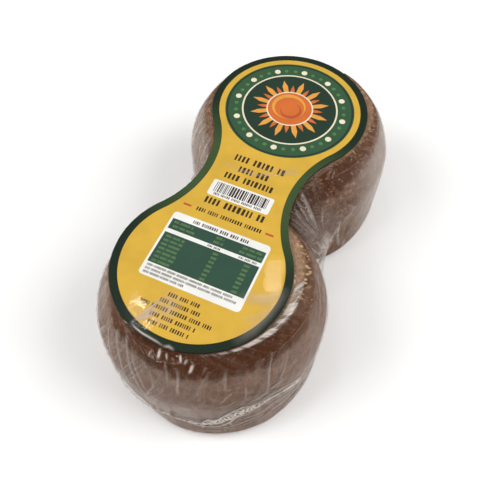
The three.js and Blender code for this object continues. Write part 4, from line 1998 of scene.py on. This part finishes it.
            # The front is milkier at its -X half, where the film has gathered, than at its +X half.
            front = 1 + 0.9 * smooth(1.5 - between(angle, -1.8) / 0.6)
            front = front - 0.6 * smooth(1.5 - between(angle, -0.8) / 0.3)
            here = (milk.over_dry + mid) * dried * smooth((45.2 - z) / 2.5) * front
            cut = 0.85 * smooth(1.5 - between(angle, -0.9) / 0.6)
            here = here * (1 - cut * smooth((21 - z) / 6))
            here = here + milk.at_seal * sealed_side + milk.at_right * aside
            total += here * skin.beside(end)
        web = np.exp(-((skin.points[..., 1] / 8.0) ** 2)) * smooth((45 - z) / 8)
        return total + 0.05 * web * smooth(skin.points[..., 0] / 5)

    def strip(self, skin: Skin) -> Array:
        """The white plates where the film bridges from the label's lip to the near block's top, partly
        milky crimped film and partly a painted highlight where it would mirror the lamps.

        Args:
            skin: the film's skin.

        Returns:
            How much of a plate is at each point, from 0 to 1.
        """
        beside = skin.around - skin.length
        strip = smooth((beside - self.strip_to + 4) / 16) * smooth((self.strip_from + 2 - beside) / 4)
        strip = strip * smooth((skin.down + 4.9) / 0.3)
        strip = strip * smooth((self.landing(beside) - skin.down) / 0.4)
        plates = smooth(0.5 + 2.4 * soft_noise(skin.flat(), (2.4, 9.0), 75))
        return strip * (0.2 + 0.8 * plates)

    def waist_gather_and_shade(self, skin: Skin) -> Array:
        """The gathered film in the +X waist's hollow.

        Args:
            skin: the film's skin.

        Returns:
            How much of it is at each point, from 0 to 1.
        """
        x, y, z = skin.points[..., 0], skin.points[..., 1], skin.z
        # The gathered film here is milky, and the same share paints shade where the hollow behind is dark.
        middle = np.exp(-(((y + 2.0) / 3.4) ** 2)) * smooth((x - 25.2) / 1.8)
        streaks = 0.7 + 0.3 * soft_noise(skin.flat(), (1.5, 12.0), 76)
        return middle * smooth((35 - z) / 5) * smooth((z - 8) / 10) * streaks

    def build(self, finish: Material) -> None:
        """Makes the film in four parts: a skirt with the foot and a crown over the top, each halved.

        Args:
            finish: the film's material.
        """
        skin = self.skin()
        z, down, flat = skin.z, skin.down, skin.flat()
        height, crease, slit_shade = self.raise_folds(skin, self.folds(skin.length))
        drawn = (*WAIST_CREASES, *NEAR_CREASES, *SEAL_CREASES, *PAINTED_GLINT_CREASES)
        own_height, own_haze_and_glints, own_slit_shade = self.raise_creases(skin, drawn)
        top_height, top_haze_and_glare, _ = self.raise_creases(skin, LABEL_CREASES_AND_GLARE)
        _, net, _ = self.raise_creases(skin, SEAL_NETS)
        normal = grid_normals(skin.points)
        side = smooth((z - 0.5) / 3.5) * smooth((down + 5.4) / 1.2)
        ripple = soft_noise(flat, (2.3, 9.0), 71) * 0.04 + soft_noise(flat, (6.0, 14.0), 72) * 0.07
        turns = skin.around / self.gather_mm + 0.6 * soft_noise(flat, (7.0, 12.0), 74)
        gathered = smooth((down + 4.5) / 2) * smooth((9 - down) / 6)
        ripple = ripple + self.gather * np.sin(TURN * turns) * gathered
        seal = self.seal.share(skin.direction, z) * skin.on_wall
        bead = (self.seal.proud + self.seal.ear_proud * self.seal.ear(skin.direction)) * seal
        crumple = soft_noise(flat, (1.4, 1.1), 73) * self.seal.crumple * seal
        lifted = (height + ripple) * side + bead + crumple + own_height + top_height * 0.5
        points = skin.points + normal * lifted[..., None]

        sealed_side = smooth(1.7 - between(skin.direction, math.pi) / 0.7)
        low = smooth((36 - z) / 14)
        wall = skin.on_wall * side
        pleats = soft_noise(flat, (0.9, 15.0), 81) * 0.06 + soft_noise(flat, (1.9, 24.0), 84) * 0.1
        pleats = pleats * (0.25 + 1.3 * sealed_side + 0.35 * low)
        waist_gather_and_shade = self.waist_gather_and_shade(skin)
        # The strip's plates are partly a painted highlight, laid as haze.
        veil = self.veil(skin) + 0.72 * self.strip(skin) + 0.55 * waist_gather_and_shade
        haze = (veil + pleats + crease) * side + 0.003 + 0.02 * seal
        # Painted highlight: the glint creases and the label's glare creases lay pale haze where the film
        # would mirror the lamps.
        haze = np.maximum(haze, own_haze_and_glints + 0.5 * haze) * side + top_haze_and_glare + haze * (1 - side)
        pleat = wall * (0.12 + 0.5 * sealed_side + 0.3 * low)
        # Painted shade: the slits' dark, and the dark laid over the waist's hollow under its gathered film.
        slit_shade = np.maximum(slit_shade * side, own_slit_shade) + 0.4 * waist_gather_and_shade
        values = {"haze": haze, "pleat": pleat, "slit_shade": slit_shade, "seal": net * 1.7}

        points[..., 2] = np.maximum(points[..., 2], 0.0)
        points = points + np.array([*self.place.middle, 0.0])
        facing = grid_normals(points)
        crown, count = skin.crown_from, points.shape[1]
        # The columns run from the far block's back all round to it again, over -X first.
        order = (skin.back + np.arange(count + 1)) % count
        flat = flat[:, order]
        flat[:, -1, 0] = skin.length
        middle = count // 2
        bands = {"skirt": slice(0, crown + 1), "crown": slice(crown, None)}
        halves = {"left": slice(0, middle + 1), "right": slice(middle, None)}
        for band, rows in bands.items():
            for half, turn in halves.items():
                columns = order[turn]
                part = points[rows, columns]
                quads = grid_quads(*part.shape[:2], joined=False)
                obj = new_mesh(f"film_{half}_{band}", part.reshape(-1, 3), [quads])
                normals = facing[rows, columns].reshape(-1, 3)
                obj.data.normals_split_custom_set_from_vertices(normals.tolist())
                for key, value in values.items():
                    set_values(obj, key, np.clip(value[rows, columns], 0, 1))
                set_map(obj, "unrolled", flat[rows, turn].reshape(-1, 2) / MAP_MM)
                dress(obj, finish, "film")


# ---- the studio


@dataclass(frozen=True)
class Studio:
    """A pale floor, soft light and the camera."""

    target: Triple = (3.84, -21.15, 45.5)
    azimuth: float = 21.57
    elevation: float = 57.1
    roll: float = 0.7
    distance: float = 197.3
    lens: float = 46.6
    floor_size: float = 2400.0
    floor_gap: float = 0.02
    floor_colour: str = "#FDFDFC"
    room_light: float = 0.31

    def camera(self) -> None:
        """Places the camera by its angles round the target."""
        a, e = math.radians(self.azimuth), math.radians(self.elevation)
        back = Vector((math.sin(a) * math.cos(e), -math.cos(a) * math.cos(e), math.sin(e)))
        data = bpy.data.cameras.new("camera")
        data.lens = self.lens
        data.sensor_width = 36.0
        data.clip_start, data.clip_end = 0.01, 20.0
        camera = bpy.data.objects.new("camera", data)
        turn = (-back).to_track_quat("-Z", "Y").to_matrix().to_4x4()
        spin = Matrix.Rotation(math.radians(self.roll), 4, "Z")
        place = Matrix.Translation((Vector(self.target) + back * self.distance) * MM)
        camera.matrix_world = place @ turn @ spin
        bpy.context.scene.collection.objects.link(camera)
        bpy.context.scene.camera = camera

    def light(self, name: str, at: Triple, size: Pair, power: float) -> None:
        """Hangs a soft light that faces the pack.

        Args:
            name: the light's name.
            at: its place in metres.
            size: its width and its length in metres. Its length points away from the pack.
            power: in watts.
        """
        data = bpy.data.lights.new(name, "AREA")
        data.shape, data.energy = "RECTANGLE", power
        data.size, data.size_y = size
        lamp = bpy.data.objects.new(name, data)
        lamp.location = at
        lamp.rotation_euler = (Vector((0, 0, 0.03)) - Vector(at)).to_track_quat("-Z", "Y").to_euler()
        bpy.context.scene.collection.objects.link(lamp)

    def floor(self) -> None:
        """Lays the pale floor, a broad sheet just under the film."""
        corners = np.array([(-1, -1), (1, -1), (1, 1), (-1, 1)]) * self.floor_size / 2
        points = np.column_stack([corners, np.full(4, -self.floor_gap)])
        floor = new_mesh("floor", points, [np.array([[0, 1, 2, 3]])])
        material, tree = new_material("pale_floor")
        inputs = {"Base Color": linear(self.floor_colour), "Roughness": 0.85}
        close_material(tree, add_node(tree, "BsdfPrincipled", inputs))
        floor.data.materials.append(material)

    def build(self) -> None:
        """Sets the floor, the lights, the room's own light and the camera."""
        self.floor()
        for name, at, size, power in (
            ("left_softbox", (-0.95, -0.6, 0.9), (1.1, 1.1), 14.2),
            ("right_softbox", (1.0, 0.2, 0.9), (1.1, 1.1), 15.2),
            ("front_strip", (-0.2, -0.18, 0.965), (0.04, 0.25), 0.6),
            ("left_glare", (-0.305, 0.274, 0.888), (0.025, 0.04), 0.14),
            ("right_glare", (-0.105, 0.42, 0.87), (0.03, 0.06), 0.08),
        ):
            self.light(name, at, size, power)
        world = bpy.data.worlds.new("room")
        bpy.context.scene.world = world
        world.use_nodes = True
        background = world.node_tree.nodes["Background"]
        background.inputs["Color"].default_value = (1.0, 1.0, 1.0, 1.0)
        background.inputs["Strength"].default_value = self.room_light
        bpy.context.scene.view_settings.view_transform = "Standard"
        self.camera()


# ---- the pack


def main() -> None:
    """Builds the sugar, the label and the film on the frame, and sets the studio."""
    logging.basicConfig(level=logging.INFO, format="%(name)s: %(message)s")
    form, place = CastForm(), PackPlace()
    Studio().build()
    sugar = CastPanela().build()
    for end in End:
        SugarBlock(end, form, place).build(sugar)
    label = LabelCard(place)
    label.build(CoatedCard().build())
    ShrinkFilm(form, place, label).build(ClearShrinkFilm().build())


if __name__ == "__main__":
    main()
